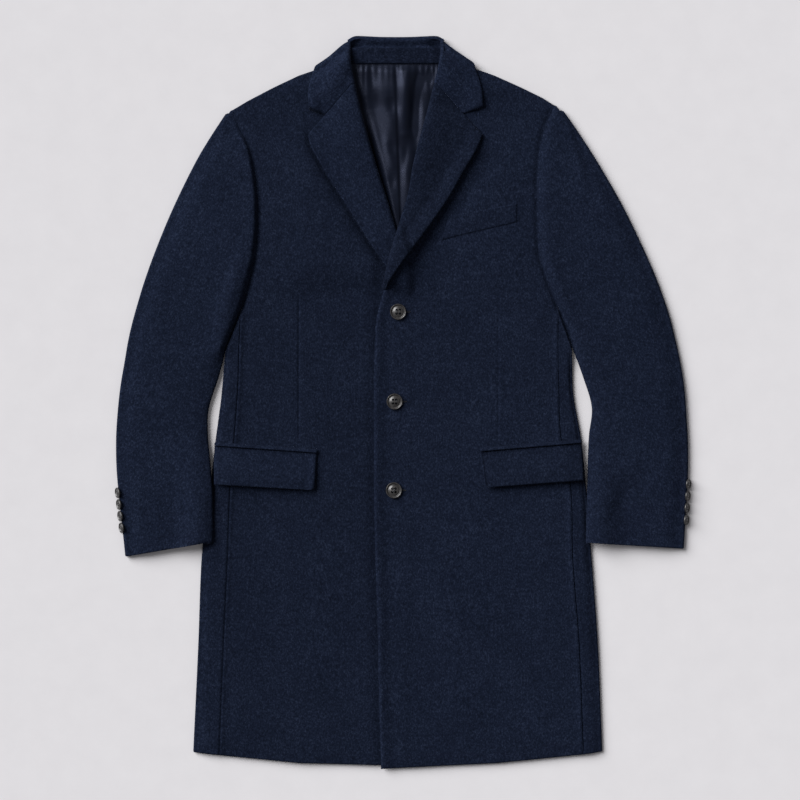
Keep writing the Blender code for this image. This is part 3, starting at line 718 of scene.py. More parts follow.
def to_frame(points):
    """Metres of the frame from millimetres of the coat."""
    return (points + np.array([CENTRE_LINE_X, BOX_MIDDLE_Y, 0.0])) * MM


# Angles between faces, in degrees, past which an edge is sharp.
CLOTH_SHARP, BUTTON_SHARP = 50, 40
# Least length that a sheet may be said to have, in metres.
LEAST_SHEET = 0.0101


def add_piece(name, mesh, material, sharp=None, node=None):
    """A smooth piece of the coat. If a node is named, it replaces that one."""
    mesh.materials.append(material)
    mesh.shade_smooth()
    if sharp:
        mesh.set_sharp_from_angle(angle=math.radians(sharp))
    piece = bpy.data.objects.new(name, mesh)
    bpy.context.scene.collection.objects.link(piece)
    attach(piece, "root")
    if node:
        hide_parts(node)
    return piece


def cloth(name, outer, inner, material):
    """A closed sheet between an outer and an inner grid of points, which replaces the node of its name."""
    rows, columns = outer.shape[:2]
    count = rows * columns
    index = np.arange(count).reshape(rows, columns)
    corners = [index[:-1, :-1], index[1:, :-1], index[1:, 1:], index[:-1, 1:]]
    skin = np.stack(corners, axis=-1).reshape(-1, 4)
    rim = np.concatenate([index[0, ::-1], index[1:, 0], index[-1, 1:], index[-2:0:-1, -1]])
    after = np.roll(rim, -1)
    side = np.stack([rim, rim + count, after + count, after], axis=1)
    faces = np.concatenate([skin, skin[:, ::-1] + count, side])
    down, over = outer[1, 0] - outer[0, 0], outer[0, 1] - outer[0, 0]
    if np.dot(np.cross(down, over), outer[0, 0] - inner[0, 0]) < 0:
        faces = faces[:, ::-1]
    mesh = bpy.data.meshes.new(name)
    points = to_frame(np.concatenate([outer.reshape(-1, 3), inner.reshape(-1, 3)]))
    mesh.from_pydata(points.tolist(), [], faces.tolist())
    piece = add_piece(f"{name}_cloth", mesh, material, CLOTH_SHARP, name)
    along = np.linalg.norm(np.diff(outer, axis=0), axis=2).sum(axis=0).max() * MM
    along = max(along, LEAST_SHEET)


# ---------------------------------------------------------------- cloth pieces

# Spacing of the grids' lines.
FRONT_SPACING, BACK_SPACING, LINING_SPACING, STAND_SPACING = 3.1, 7.0, 1.4, 1.5
LAPEL_SPACING, WING_SPACING, PATCH_SPACING = 2.5, 2.3, 2.5
# A fold that another piece meets halfway stops just short of square, in degrees.
MEETING_ANGLE = 87.8
# Seams of collar and lapel: depth and width of the trough.
GORGE_SEAM = (0.5, 1.6)
# Top and foot of the back, and of the line through the front's dart.
BACK_SPAN, DART_LINE_SPAN = (476.0, -508.0), (455.0, -504.0)
# How much of the shoulder's outer end turns over square to the armhole.
SHOULDER_END = 18
# How far into a grid the rows follow a line that its first or last row is moved onto.
LONG_PULL, SHORT_PULL = 60, 45
# Radius of the front edge's rounding, and the most of the wool's thickness that a rounding takes away
# from an edge of the body and of a sleeve.
FRONT_ROUNDING = 5.0
BODY_ROUNDED, SLEEVE_ROUNDED = 0.96 * WOOL, 0.9 * WOOL


def panel(side, up):
    """A front or half a back, from its shoulder fold to its hem."""
    armhole = smooth(outer_column(ARMHOLE, side))[: -SPAN_POINTS - 1]
    seam = smooth(outer_column(SIDE_SEAM, side))
    outer = np.concatenate([armhole, seam[1:]])
    if up > 0:
        neck = outer_column(SHOULDER, side)[0] - np.array([0, FOLD_RADIUS])
        roll = smooth(column(ROLL_LINE[GORGE_ROW:], side))
        roll = roll + ROLL_SET_BACK * outward(roll, (side * 300, 300))
        inner = np.concatenate([[neck], roll, smooth(column(FRONT_EDGE, side))])
        middle = np.array([(DARTS[side][0], y) for y in DART_LINE_SPAN])
        grid = Grid([inner, middle, outer], FRONT_SPACING, (PLAIN, FREE), (FREE, TUCK, SEWN))
    else:
        inner = np.array([(side * SEAM_GAP / 2, y) for y in BACK_SPAN])
        grid = Grid([inner, outer], BACK_SPACING, (PLAIN, FREE))
    shoulder = sampled(outer_column(SHOULDER, side), grid.share[0])
    along = lengths(shoulder)
    at_end = shoulder[-1] - sampled(armhole, np.array([FOLD_RADIUS / lengths(armhole)[-1]]))[0]
    blend = ease(along, along[-1] - SHOULDER_END, along[-1])[:, None]
    over = unit(outward(shoulder, (0, 600)) * (1 - blend) + blend * unit(at_end))
    shoulder_drop = SHOULDER_DROP if up > 0 else 0
    radius = FOLD_RADIUS - shoulder_drop
    grid.pull(0, shoulder - radius * over, LONG_PULL)
    if up > 0:
        heights = higher(front_level(grid, side), pile.seat(grid.x, grid.y, 4, 8) + WOOL)
        if side == LEFT:
            near_edge = (1 - ease(grid.from_inner, 4, FRONT_EDGE_REACH)) * (1 - ease(grid.y, 150, 200))
            heights += FRONT_EDGE_LIFT * near_edge
        at_armhole = ease(grid.outer[:, 1], 120, 135)[:, None]
        depth = armhole_depth(grid.outer[:, 1], side)[:, None]
        heights += at_armhole * groove(grid.to_outer, depth, ARMHOLE_WIDTH[side][0])
        heights += (1 - at_armhole) * groove(grid.to_outer, SEAM_DEPTH, SEAM_WIDTH)
        near_shoulder = 1 - ease(grid.from_start, 0, 16)[:, None]
        heights += near_shoulder * (BODY_HEIGHT + rise(grid.y) - heights)
        heights -= shoulder_drop * bell(grid.from_start, 7)[:, None]
        heights -= HEM_DROP * bell(grid.to_end, 10)[:, None]
        drop = rounding(grid.from_inner, FRONT_ROUNDING) + rounding(grid.to_end[:, None])
    else:
        heights = rise(grid.y)
        drop = rounding(grid.to_end[:, None] + 0 * grid.x)
    points = np.dstack([grid.plan, heights])
    normals = np.array(np.broadcast_to(up * UP, points.shape))
    edge = np.hstack([shoulder, heights[0][:, None]])
    turned = edge_turn(edge, normals[0], in_space(over), radius, fold_angles(MEETING_ANGLE, 5)[::-1])
    outer_points = points - np.minimum(drop, BODY_ROUNDED)[..., None] * normals
    first, first_normals = (np.stack(parts) for parts in zip(*turned))
    inner_points = points - WOOL * normals
    if up > 0:
        inner_points[..., 2] = np.maximum(inner_points[..., 2], WOOL + SEAM_GAP)
    inner_points = np.concatenate([first - WOOL * first_normals, inner_points])
    outer_points = np.concatenate([first, outer_points])
    kind, rests = ("front", [named("back", side)]) if up > 0 else ("back", [])
    cloth(named(kind, side), outer_points, inner_points, WOOL_FRONT[side])
    pile.lay(outer_points if up > 0 else inner_points)


# Radius with which the side fold begins, and a height in the middle of the underarm.
LEAST_FOLD, UNDERARM_Y = 0.6, 100.0


def side_panel(side):
    """From the front side seam, round the fold, to the back side seam."""
    seam = smooth(outer_column(SIDE_SEAM, side))
    fold = smooth(outer_column(SIDE_FOLD, side))
    across = outward(fold, (side * 900, 0))
    grid = Grid([seam, fold], FRONT_SPACING, (SEWN, FREE), (SEWN, SEWN))
    across = sampled(across, grid.from_start / grid.from_start[-1])
    # Its top edge follows the armhole, and its fold begins there with hardly any height.
    below_armhole = ease(grid.from_start, 0, 40)
    radius = LEAST_FOLD + (FOLD_RADIUS - SIDE_DROP / 2 - LEAST_FOLD) * below_armhole
    armhole = smooth(outer_column(ARMHOLE, side))[-SPAN_POINTS - 1 :]
    grid.pull(0, sampled(armhole, grid.share[0]), SHORT_PULL)
    inset = radius[:, None] * across
    grid.plan -= (grid.share**3)[..., None] * inset[:, None]
    level = BODY_HEIGHT + cloth_relief(grid.x, grid.y) + groove(grid.from_inner, SEAM_DEPTH, SEAM_WIDTH)
    depth = armhole_depth(UNDERARM_Y, side)
    level += groove(grid.from_start, depth, ARMHOLE_WIDTH[side][0])[:, None]
    flat_edge = (1 - ease(grid.to_outer, 0, 12)) * ease(grid.from_start, 0, 20)[:, None]
    level = level + flat_edge * (BODY_HEIGHT - level)
    level = level - SIDE_DROP * bell(grid.to_outer, SIDE_REACH) * below_armhole[:, None]
    top = flat_columns(grid.plan, level)
    fold_edge = np.dstack([grid.plan, level])[:, -1] + in_space(inset)
    facing = np.broadcast_to(UP, fold_edge.shape)
    turned = edge_turn(fold_edge, facing, in_space(across), radius, HALF_FOLD)
    # The under side has every third column of the upper one.
    under_plan = grid.plan[:, -2::-3]
    under_heights = np.broadcast_to((level[:, -1] - 2 * radius)[:, None], under_plan.shape[:2])
    under = flat_columns(under_plan, under_heights, up=-1)
    points, normals = grids(top + turned + under)
    drop = rounding(grid.to_end)[:, None, None]
    outer_points, inner_points = points - drop * normals, points - WOOL * normals
    cloth(named("side", side), outer_points, inner_points, WOOL_BODY)
    pile.lay(points)


def lining():
    """The satin at the back of the neck, with its folds, its pleat and the gathers under the seam."""
    rows = smooth(LINING_ROWS)
    grid = Grid([rows[:, ::-1] * [-1, 1], rows[:, ::-1]], LINING_SPACING)
    x, y = grid.x, grid.y
    relief = ridges(x, y, LINING_FOLDS)
    share = (y - PLEAT_TOP[1]) / (PLEAT_FOOT[1] - PLEAT_TOP[1])
    pleat = x - (PLEAT_TOP[0] + share * (PLEAT_FOOT[0] - PLEAT_TOP[0]))
    relief -= PLEAT_DEPTH * np.exp(-np.maximum(pleat, 0) / PLEAT_REACH) / (1 + np.exp(-pleat / PLEAT_WIDTH))
    strength = np.exp((y - STAND_LOW_Y) / GATHER_LENGTH) * (0.3 + 0.7 * ease(np.abs(x), 14, 40))
    relief += GATHER_HEIGHT * strength * np.sin(2 * np.pi * (x + 2 * np.sin(x / 9)) / GATHER_SPACING)
    relief += LINING_TOOTH * np.sin(x / 2.9 + y / 31) * np.sin(y / 13 + x / 17)
    near_edge = np.minimum(ease(grid.from_inner, 4, 20), ease(grid.to_outer, 0, 6))
    low = rise(y) + WOOL + SEAM_GAP
    below_stand = 1 - ease(y, 462, STAND_LOW_Y)
    belly = (LINING_BELLY + LINING_BELLY_GAIN * ease(y, 420, 250)) * near_edge * below_stand
    relief *= near_edge * (0.15 + 0.85 * below_stand)
    heights = np.maximum(low + LINING + belly + relief, low + LINING)
    points = np.dstack([grid.plan, heights])
    cloth("lining", points, points - LINING * UP, SATIN)
    pile.lay(np.dstack([grid.plan, low + LINING]))


# Outer line of the collar's fold behind the neck, from the middle outwards.
NECK_FOLD = [(0, 512.3), (20, 512.5), (40, 513.4), (54, 513.8), (61, 512.4), (68, 508.0)]
# Height across the neck band: distance from the flat top of its fold, and height from there.
BAND_PROFILE = [(0, 0.0), (2.5, 0.1), (6, -1.4), (10, -2.9), (12.6, -3.3), (14.2, -2.2), (17, -2.3)]
# The profile's distance for each millimetre of the band.
BAND_STRETCH = 1.26
# Where the band ends below, and how many points it has along its fold and across.
BAND_LOW, BAND_ROWS, BAND_COLUMNS = NECK_SEAM_Y - 1.5, 91, 11
# Length of the band's low edge as a share of its fold's, how much higher the fold gets at its ends, and
# how far the corners below them sink.
BAND_TAPER, BAND_CORNER_RISE, BAND_CORNER_SINK = 66 / 68, 1.3, 4.2
# Heights on the coat of the rows of the collar's hidden fall.
FALL_ROWS = (500.0, 478.0, 456.0)


def neck_band():
    """The collar behind the neck: its inner band, its fold and the fall hidden under the back."""
    half = smooth(NECK_FOLD)
    fold = np.concatenate([half[:0:-1] * [-1, 1], half])
    shares = np.linspace(-1, 1, BAND_ROWS)
    fold = sampled(fold, (shares + 1) / 2)
    away = np.abs(fold[:, 0])
    top_height = BAND_HEIGHT + BAND_CORNER_RISE * ease(away, 38, 60)
    radius = top_height / 2
    across = outward(fold, (0, 900))
    low = np.stack([fold[:, 0] * BAND_TAPER, np.full(len(fold), BAND_LOW)], axis=1)
    flat_start = fold - radius[:, None] * across
    top_plan = np.stack([low + t * (flat_start - low) for t in np.linspace(0, 1, BAND_COLUMNS)], axis=1)
    below = fold[:, None, 1] - top_plan[..., 1]
    distance, depth = np.array(BAND_PROFILE).T
    sunk = np.interp(np.maximum(below - radius[:, None], 0) * BAND_STRETCH, distance, depth)
    corner = ease(away, 41, 57)[:, None] * ease(below, 2, 8) * BAND_CORNER_SINK
    heights = top_height[:, None] + sunk - corner + 0.15 * np.sin(top_plan[..., 0] / 7)
    heights[:, -1] = top_height
    top = flat_columns(top_plan, heights)
    edge = np.hstack([fold, top_height[:, None]])
    turned = edge_turn(edge, np.broadcast_to(UP, edge.shape), in_space(across), radius, HALF_FOLD)
    under_plan = np.dstack(np.meshgrid(shares * FALL_HALF, FALL_ROWS, indexing="ij"))
    under = flat_columns(under_plan, np.zeros(under_plan.shape[:2]), up=-1)
    points, normals = grids(top + turned + under)
    cloth("collar_back", points, points - WOOL * normals, WOOL_BAND)
    pile.lay(points)


# Height of the stand's face, how much higher it gets at its seam, and how far its ends sink.
STAND_HEIGHT, STAND_RISE, STAND_SINK = 9.4, 0.8, 1.5


def stand():
    """The inner band of the collar, below its seam."""
    low, high = (np.array([(-STAND_HALF, y), (STAND_HALF, y)]) for y in (STAND_LOW_Y, NECK_SEAM_Y))
    grid = Grid([low, high], STAND_SPACING, beside=(FREE, PLAIN))
    heights = STAND_HEIGHT + STAND_RISE * ease(grid.y, 485, NECK_SEAM_Y) + 0.15 * np.sin(grid.x / 8 + 1)
    heights -= STAND_SINK * ease(np.abs(grid.x), 50, 62)
    points = np.dstack([grid.plan, heights])
    base = points - WOOL * UP
    points[..., 2] -= rounding(grid.from_inner) + 0.7 * rounding(grid.to_outer, 1.6)
    cloth("collar_stand", points, base, WOOL_STAND)
    pile.lay(points)


def roll_columns(edge, facing, across, depth, radius):
    """The roll at the neck opening, and the skirt below it that reaches down by depth."""
    turned = edge_turn(edge, facing, across, radius, fold_angles(90, 7))
    low, normal = turned[-1]
    skirt = np.maximum(depth - radius, 0.4)[:, None]
    return turned + [(low - skirt * facing, normal)]


# Radius of the roll of a lapel, of the collar at its sides, and of the collar where it meets the band.
LAPEL_ROLL, WING_ROLL, LEAST_ROLL = 5.5, 4.5, 2.0
# The collar is sewn on above this length of the lapel, and doesn't lie on it.
LAID_FROM = 60
# Share of the lapel's top edge, from its tip, that is free. The collar is sewn on beyond it, and there the
# edge keeps a share of its rounding.
GORGE_SHARE, SEWN_ROUNDING = 0.34, 0.3


def lapel(side):
    """The facing that is turned out, with its roll at the neck opening."""
    outer = smooth(column(LAPEL_EDGE, side))
    roll = sampled(smooth(column(ROLL_LINE[GORGE_ROW:], side)), np.linspace(0, 1, len(outer)))
    outer = sampled(outer, np.linspace(0, 1, len(outer)))
    across = outward(roll, (-side * 300, 300))
    grid = Grid([outer, roll - LAPEL_ROLL * across], LAPEL_SPACING, (FREE, FREE), (FREE, PLAIN))
    along = grid.from_start / grid.from_start[-1]
    across = sampled(across, along)
    seat = pile.seat(grid.x, grid.y, 2, 4) + WOOL
    high_lift, low_lift = LAPEL_EDGE_LIFT[side]
    edge_lift = high_lift + (low_lift - high_lift) * ease(along, 0.3, 0.8)
    edge_lift = edge_lift * (1 - ease(along, 0.94, 1.02))
    belly = LAPEL_BELLY * np.sin(np.pi * grid.share)
    fall = LAPEL_EDGE_FALL[side] * ease(grid.from_inner, 0, LAPEL_EDGE_REACH)
    near_roll = 1 - ease(grid.to_outer, 0, ROLL_REACH[side])
    roll_rise = ROLL_RISE[side] * near_roll * np.clip(grid.to_end / 230, 0, 1)[:, None]
    lift = edge_lift[:, None] * (1 - fall) + belly
    gorge = ease(grid.from_start, 0, 30)[:, None]
    heights = seat + roll_rise + lift * (0.5 + 0.5 * gorge) + 0.6 * waves(grid.x + 40, grid.y)
    heights = -higher(-heights, -HIGHEST, 2.0)
    heights += groove(grid.from_start, *GORGE_SEAM)[:, None]
    points = np.dstack([grid.plan, heights])
    facing = np.broadcast_to(UP, points[:, -1].shape)
    edge = np.hstack([grid.outer + LAPEL_ROLL * across, heights[:, -1:]])
    floor = pile.seat(edge[:, 0], edge[:, 1], 2, 2)
    columns = flat_columns(grid.plan, heights)
    columns += roll_columns(edge, facing, in_space(across), heights[:, -1] - floor, LAPEL_ROLL)
    base, normals = grids(columns)
    ends = rounding(np.minimum(grid.from_start, grid.to_end))[:, None]
    free = 1 - (1 - SEWN_ROUNDING) * ease(grid.share, GORGE_SHARE - 0.04, GORGE_SHARE + 0.04)
    drop = SEWN_ROUNDING * np.broadcast_to(ends, base.shape[:2])
    drop[:, : grid.share.shape[1]] = np.maximum(rounding(grid.from_inner), free * ends)
    outer_points, inner_points = base - drop[..., None] * normals, base - WOOL * normals
    name, rests = named("lapel", side), [named("front", side)]
    cloth(name, outer_points, inner_points, WOOL_LAPEL[side])
    pile.lay(outer_points[grid.from_start > LAID_FROM])


# Rows of its curves, and the share of the collar's low edge, from its tip, where the notch is.
WING_ROWS, NOTCH_SHARE = 60, 0.38


def wing(side):
    """The collar on one side: from the gorge and the notch up to the shoulder, and turned under."""
    shares = np.linspace(0, 1, WING_ROWS)
    edge = sampled(smooth(column(COLLAR_EDGE, side)), shares)
    leg = sampled(smooth(column(ROLL_LINE[: GORGE_ROW + 1], side)[::-1]), shares)
    turn = smooth(column(COLLAR_TURN, side))
    leg_across = outward(leg, (-side * 300, 480))
    grid = Grid([edge, leg - WING_ROLL * leg_across], WING_SPACING, (FREE, PLAIN), (FREE, PLAIN))
    along = grid.from_start / grid.from_start[-1]
    leg_across = sampled(leg_across, along)
    # The gorge seam runs from the roll to the notch, and the collar's low edge on to its tip.
    notch = column(NOTCH, side)[0]
    tip, root = grid.plan[0, 0].copy(), grid.plan[0, -1].copy()
    reach = grid.share[0]
    corners = zip(tip, notch, root)
    low_line = np.stack([np.interp(reach, (0, NOTCH_SHARE, 1), values) for values in corners], axis=1)
    grid.pull(0, low_line + [0, SEAM_GAP], SHORT_PULL)
    # Over the shoulder it turns under. Towards the neck the fold gets as low as the neck band's.
    line = sampled(turn, 1 - grid.share[-1])
    line[-1] -= WING_ROLL * leg_across[-1]
    level = BODY_HEIGHT + SEAM_GAP + WOOL
    at_edge = line[0] - sampled(edge, np.array([1 - (level + BACK_RISE) / 2 / lengths(edge)[-1]]))[0]
    near_band = ease(grid.share[-1], 0.7, 1.0)[:, None]
    near_edge = 1 - ease(grid.share[-1], 0, 0.3)[:, None]
    over = outward(line, (side * 400, 900)) * (1 - near_band) + np.array([0.0, 1.0]) * near_band
    over = unit(over * (1 - near_edge) + unit(at_edge) * near_edge)
    radius = (level + BACK_RISE) / 2 - BAND_CORNER_RISE * ease(grid.share[-1], 0.55, 0.95)
    grid.pull(-1, line - radius[:, None] * over, LONG_PULL)
    heights = higher(level + rise(grid.y), pile.seat(grid.x, grid.y, 4, 6) + WOOL)
    lift = WING_BELLY * np.sin(np.pi * np.clip(grid.share, 0, 1)) * ease(along, 0, 0.3)[:, None]
    roll_rise = (ROLL_RISE[side] + WING_RISE[side] * ease(along, 0.1, 0.5)) * (1 - ease(along, 0.6, 0.98))
    lift += roll_rise[:, None] * (1 - ease(grid.to_outer, 0, ROLL_REACH[side]))
    at_low_edge = ease(grid.from_start, -8, 14) * (1 - ease(along, 0.55, 0.95))
    lift += COLLAR_EDGE_LIFT[side] * (1 - ease(grid.from_inner, 0, 26)) * at_low_edge[:, None]
    heights = heights + lift + 0.4 * waves(grid.x, grid.y + 30)
    seam_share = ease(reach, NOTCH_SHARE - 0.02, NOTCH_SHARE + 0.04)[None, :]
    beyond_notch = (1 - ease(reach, 0.12, NOTCH_SHARE))[None, :]
    heights += WING_TIP_LIFT[side] * beyond_notch * (1 - ease(grid.from_start, 0, 32))[:, None]
    heights += groove(grid.from_start, *GORGE_SEAM)[:, None] * seam_share
    heights -= WING_EDGE_BEND[side] * (1 - seam_share) * bell(grid.from_start, 2.4)[:, None]
    heights += ease(along, 0.84, 1.0)[:, None] * (2 * radius[None, :] - heights)
    facing = np.broadcast_to(UP, grid.plan[0].shape[:1] + (3,))
    rows = [(row, facing) for row in np.dstack([grid.plan, heights])]
    flat = len(rows)
    over = in_space(over)
    rows += edge_turn(rows[-1][0] + radius[:, None] * over, facing, over, radius, HALF_FOLD)
    rows.append((rows[-1][0] - COLLAR_UNDER_DEPTH * over, rows[-1][1]))
    points, normals = (np.stack(parts) for parts in zip(*rows))
    facing = normals[:, -1]
    across = np.full(facing.shape, [-side, 0.0, 0.0])
    across[:flat] = in_space(leg_across)
    across = unit(across - (across * facing).sum(axis=1)[:, None] * facing)
    roll = np.full(len(points), LEAST_ROLL)
    roll[:flat] = WING_ROLL - (WING_ROLL - LEAST_ROLL) * ease(along, 0.7, 1.0)
    edge_line = points[:, -1] + WING_ROLL * across
    floor = pile.seat(edge_line[:flat, 0], edge_line[:flat, 1], 2, 2)
    depth = np.full(len(points), radius[-1])
    depth[:flat] = np.minimum(heights[:, -1] - floor, 12)
    depth[:flat] += ease(along, 0.85, 1.0) * (radius[-1] - depth[:flat])
    columns = [(points[:, k], normals[:, k]) for k in range(points.shape[1])]
    columns += roll_columns(edge_line, facing, across, depth, roll)
    base, normals = grids(columns)
    low_edge = rounding(grid.from_start)[:, None]
    drop = np.zeros(base.shape[:2])
    drop[:flat] = SEWN_ROUNDING * low_edge
    free = 1 - (1 - SEWN_ROUNDING) * seam_share
    drop[:flat, : reach.size] = np.maximum(rounding(grid.from_inner), free * low_edge)
    drop[flat:, : reach.size] = rounding(grid.from_inner[-1])
    outer_points, inner_points = base - drop[..., None] * normals, base - WOOL * normals
    name, rests = named("collar", side), [named("front", side), named("back", side)]
    cloth(name, outer_points, inner_points, WOOL_COLLAR[side])
    pile.lay(outer_points[:flat])


# Rows close to the end of a sleeve, counted back from it, and the radius of the cuff's inner corner.
CUFF_ROWS = np.array([2.6, 2.2, 1.8, 1.45, 1.15, 0.9, 0.7, 0.5, 0.35, 0.2, 0.1, 0.0])
CUFF_CORNER = {RIGHT: 9.0, LEFT: 4.0}
# Columns of a sleeve's top and under piece, and of the strip between its inner edge and them. How much
# of a narrow sleeve's width its inner and its outer fold take up at most.
TOP_COLUMNS, UNDER_COLUMNS, STRIP_COLUMNS = 46, 22, 6
INNER_SHARE, OUTER_SHARE = 0.3, 0.4


def sleeve_curves(side):
    """Plan curves of the sleeve's inner and outer edge, the inner edge's lift, and the armhole's rows."""
    first = 0 if side == RIGHT else 5
    low = np.array([row[first : first + 5] for row in SLEEVE_LOW], float)
    out = np.array([side, 1.0])
    armhole = smooth(outer_column(ARMHOLE, side))
    inner_low = smooth(np.concatenate([armhole[-1:], low[:, 2:4] * out]))[1:]
    outer = smooth(np.concatenate([outer_column(SLEEVE_HEAD_EDGE, side), low[:, :2] * out]))
    lift = smooth(np.concatenate([[[0, 0]], np.stack([low[:, 4], 0 * low[:, 4]], axis=1)]))[1:, 0]
    lift = np.concatenate([np.zeros(len(armhole)), np.maximum(lift, 0)])
    inner = np.concatenate([armhole, inner_low])
    rows = np.arange(len(inner), dtype=float)
    rows = np.concatenate([rows[:-3], rows[-1] - CUFF_ROWS])
    lines = np.hstack([inner, outer, lift[:, None]])
    lines = np.stack([np.interp(rows, range(len(lines)), axis) for axis in lines.T], axis=1)
    inner, outer, lift = lines[:, :2], lines[:, 2:4], lines[:, 4]
    # The inner corner of the cuff is rounded.
    to_end = lengths(inner)[-1] - lengths(inner)
    near = np.clip(1 - to_end / CUFF_CORNER[side], 0, 1)
    inner[:, 0] += side * CUFF_CORNER[side] * (1 - np.sqrt(1 - near**2))
    return inner, outer, lift, len(armhole)


def sleeve_shares(count):
    """Places across a sleeve, closer together at both edges."""
    even = np.linspace(0, 1, count)
    return even - 0.09 * np.sin(2 * np.pi * even)


def sleeve(side, up):
    """The top or the under piece of a sleeve: both edges turn to meet the other piece halfway."""
    inner, outer, lift, head_rows = sleeve_curves(side)
    along = lengths(outer)
    to_end = along[-1] - along
    below = np.maximum(lengths(inner) - lengths(inner)[head_rows - 1], 0)
    folded = ease(below, 0, 30)[:, None]
    across_in, across_out = outward(inner, (0, 0)), outward(outer, (side * 900, 0))
    width = np.linalg.norm(outer - inner, axis=1)
    tilt = np.radians(INNER_TILT) * folded if up > 0 else 0 * folded
    start = inner - np.minimum(FOLD_RADIUS, INNER_SHARE * width)[:, None] * (1 - np.sin(tilt)) * across_in
    end = outer - np.minimum(FOLD_RADIUS, OUTER_SHARE * width)[:, None] * across_out
    share = sleeve_shares(TOP_COLUMNS if up > 0 else UNDER_COLUMNS)
    plan = start[:, None] + share[None, :, None] * (end - start)[:, None]
    away = np.linalg.norm(plan - inner[:, None], axis=2)
    lifted = lift[:, None] * (1 - ease(away, LIFT_NEAR, LIFT_FAR))
    x, y = plan[..., 0], plan[..., 1]
    strip_shares = np.linspace(0, 0.86, STRIP_COLUMNS)
    strip_plan = inner[:, None] + strip_shares[None, :, None] * (start - inner)[:, None]
    trough, seam_width = armhole_depth(inner[:, 1], side)[:, None] * (1 - folded), ARMHOLE_WIDTH[side][1]
    base = BODY_HEIGHT + rise(inner[:, 1])[:, None] * (1 - folded)
    if up > 0:
        beyond = np.linalg.norm(plan - outer[:, None], axis=2) - FOLD_RADIUS
        swell = SLEEVE_CROWN * ease(width, 10, 110)[:, None]
        high_round, low_round = ARMHOLE_ROUND[side]
        reach = high_round + (low_round - high_round) * (1 - ease(inner[:, 1:], 150, 260))
        from_fold = np.maximum(away - FOLD_RADIUS * (1 - np.sin(tilt)), 0)
        sloping = 1 - np.exp(-from_fold / INNER_FALL)
        near_side = folded * sloping + (1 - folded) * rounded(away, reach)
        crown = swell * near_side * rounded(beyond, SLEEVE_ROUND_OUT)
        at_rims = folded * ease(share, 0, 0.09) + 1 - folded
        relief = cloth_relief(x, y) * at_rims * ease(1 - share, 0, 0.09)
        heights = base + lifted + crown + relief + groove(away, trough, seam_width)
        heights -= FOLD_RADIUS * (1 - np.cos(tilt)) * np.exp(-from_fold / 4)
        heights[:, -1] = BODY_HEIGHT
    else:
        heights = lifted
    facing = np.broadcast_to(up * UP, (len(inner), 3))
    edge_height = (BODY_HEIGHT + lift[:, None]) if up > 0 else heights[:, :1]
    edge = np.hstack([inner, folded * edge_height + (1 - folded) * heights[:, :1]])
    # The strip turns down to the fold below the underarm, and lies flat along the armhole.
    strip = []
    across_in = in_space(across_in)
    for k, flat in enumerate(strip_plan.swapaxes(0, 1)):
        angle = tilt + (math.radians(MEETING_ANGLE) - tilt) * (1 - k / STRIP_COLUMNS)
        normal = np.cos(angle) * facing + np.sin(angle) * across_in
        point = edge - FOLD_RADIUS * (across_in + facing) + FOLD_RADIUS * normal
        level = heights[:, :1]
        if up > 0:
            from_seam = np.linalg.norm(flat - inner, axis=1)[:, None]
            level = base + cloth_relief(flat[:, :1], flat[:, 1:])
            level = level + groove(from_seam, trough, seam_width) + swell * rounded(from_seam, reach)
        point = folded * point + (1 - folded) * np.hstack([flat, level])
        strip.append((point, unit(folded * normal + (1 - folded) * facing)))
    rim = np.hstack([outer, heights[:, -1:]])
    outer_turn = edge_turn(rim, facing, in_space(across_out), FOLD_RADIUS, fold_angles(MEETING_ANGLE, 6))
    points, normals = grids(strip + flat_columns(plan, heights, up) + outer_turn)
    drop = (rounding(to_end) + rounding(along, FOLD_RADIUS))[:, None, None]
    outer_points = points - np.minimum(drop, SLEEVE_ROUNDED) * normals
    inner_points = points - WOOL * normals
    if up > 0:
        # Where the top piece would reach down into the under piece, its inside is raised.
        inside = inner_points[..., 2]
        low = np.minimum(WOOL + SEAM_GAP + lift[:, None], points[..., 2])
        inner_points[..., 2] = np.maximum(inside, np.minimum(low, inside + WOOL / 2))
        pile.lay(points)
    name = named("sleeve_top" if up > 0 else "sleeve_under", side)
    cloth(name, outer_points, inner_points, WOOL_SLEEVE[side])


def patch(name, inner, outer, thickness, lift, material):
    """A small sheet with free edges, laid on the pile between two lines."""
    grid = Grid([inner, outer], PATCH_SPACING, (FREE, FREE), (FREE, FREE))
    heights = pile.seat(grid.x, grid.y, 4, 6) + thickness + lift(grid)
    points = np.dstack([grid.plan, heights])
    base = points - thickness * UP
    rows = np.minimum(grid.from_start, grid.to_end)[:, None]
    points[..., 2] -= rounding(np.minimum(rows, np.minimum(grid.from_inner, grid.to_outer)))
    cloth(name, points, base, material)
    pile.lay(points)


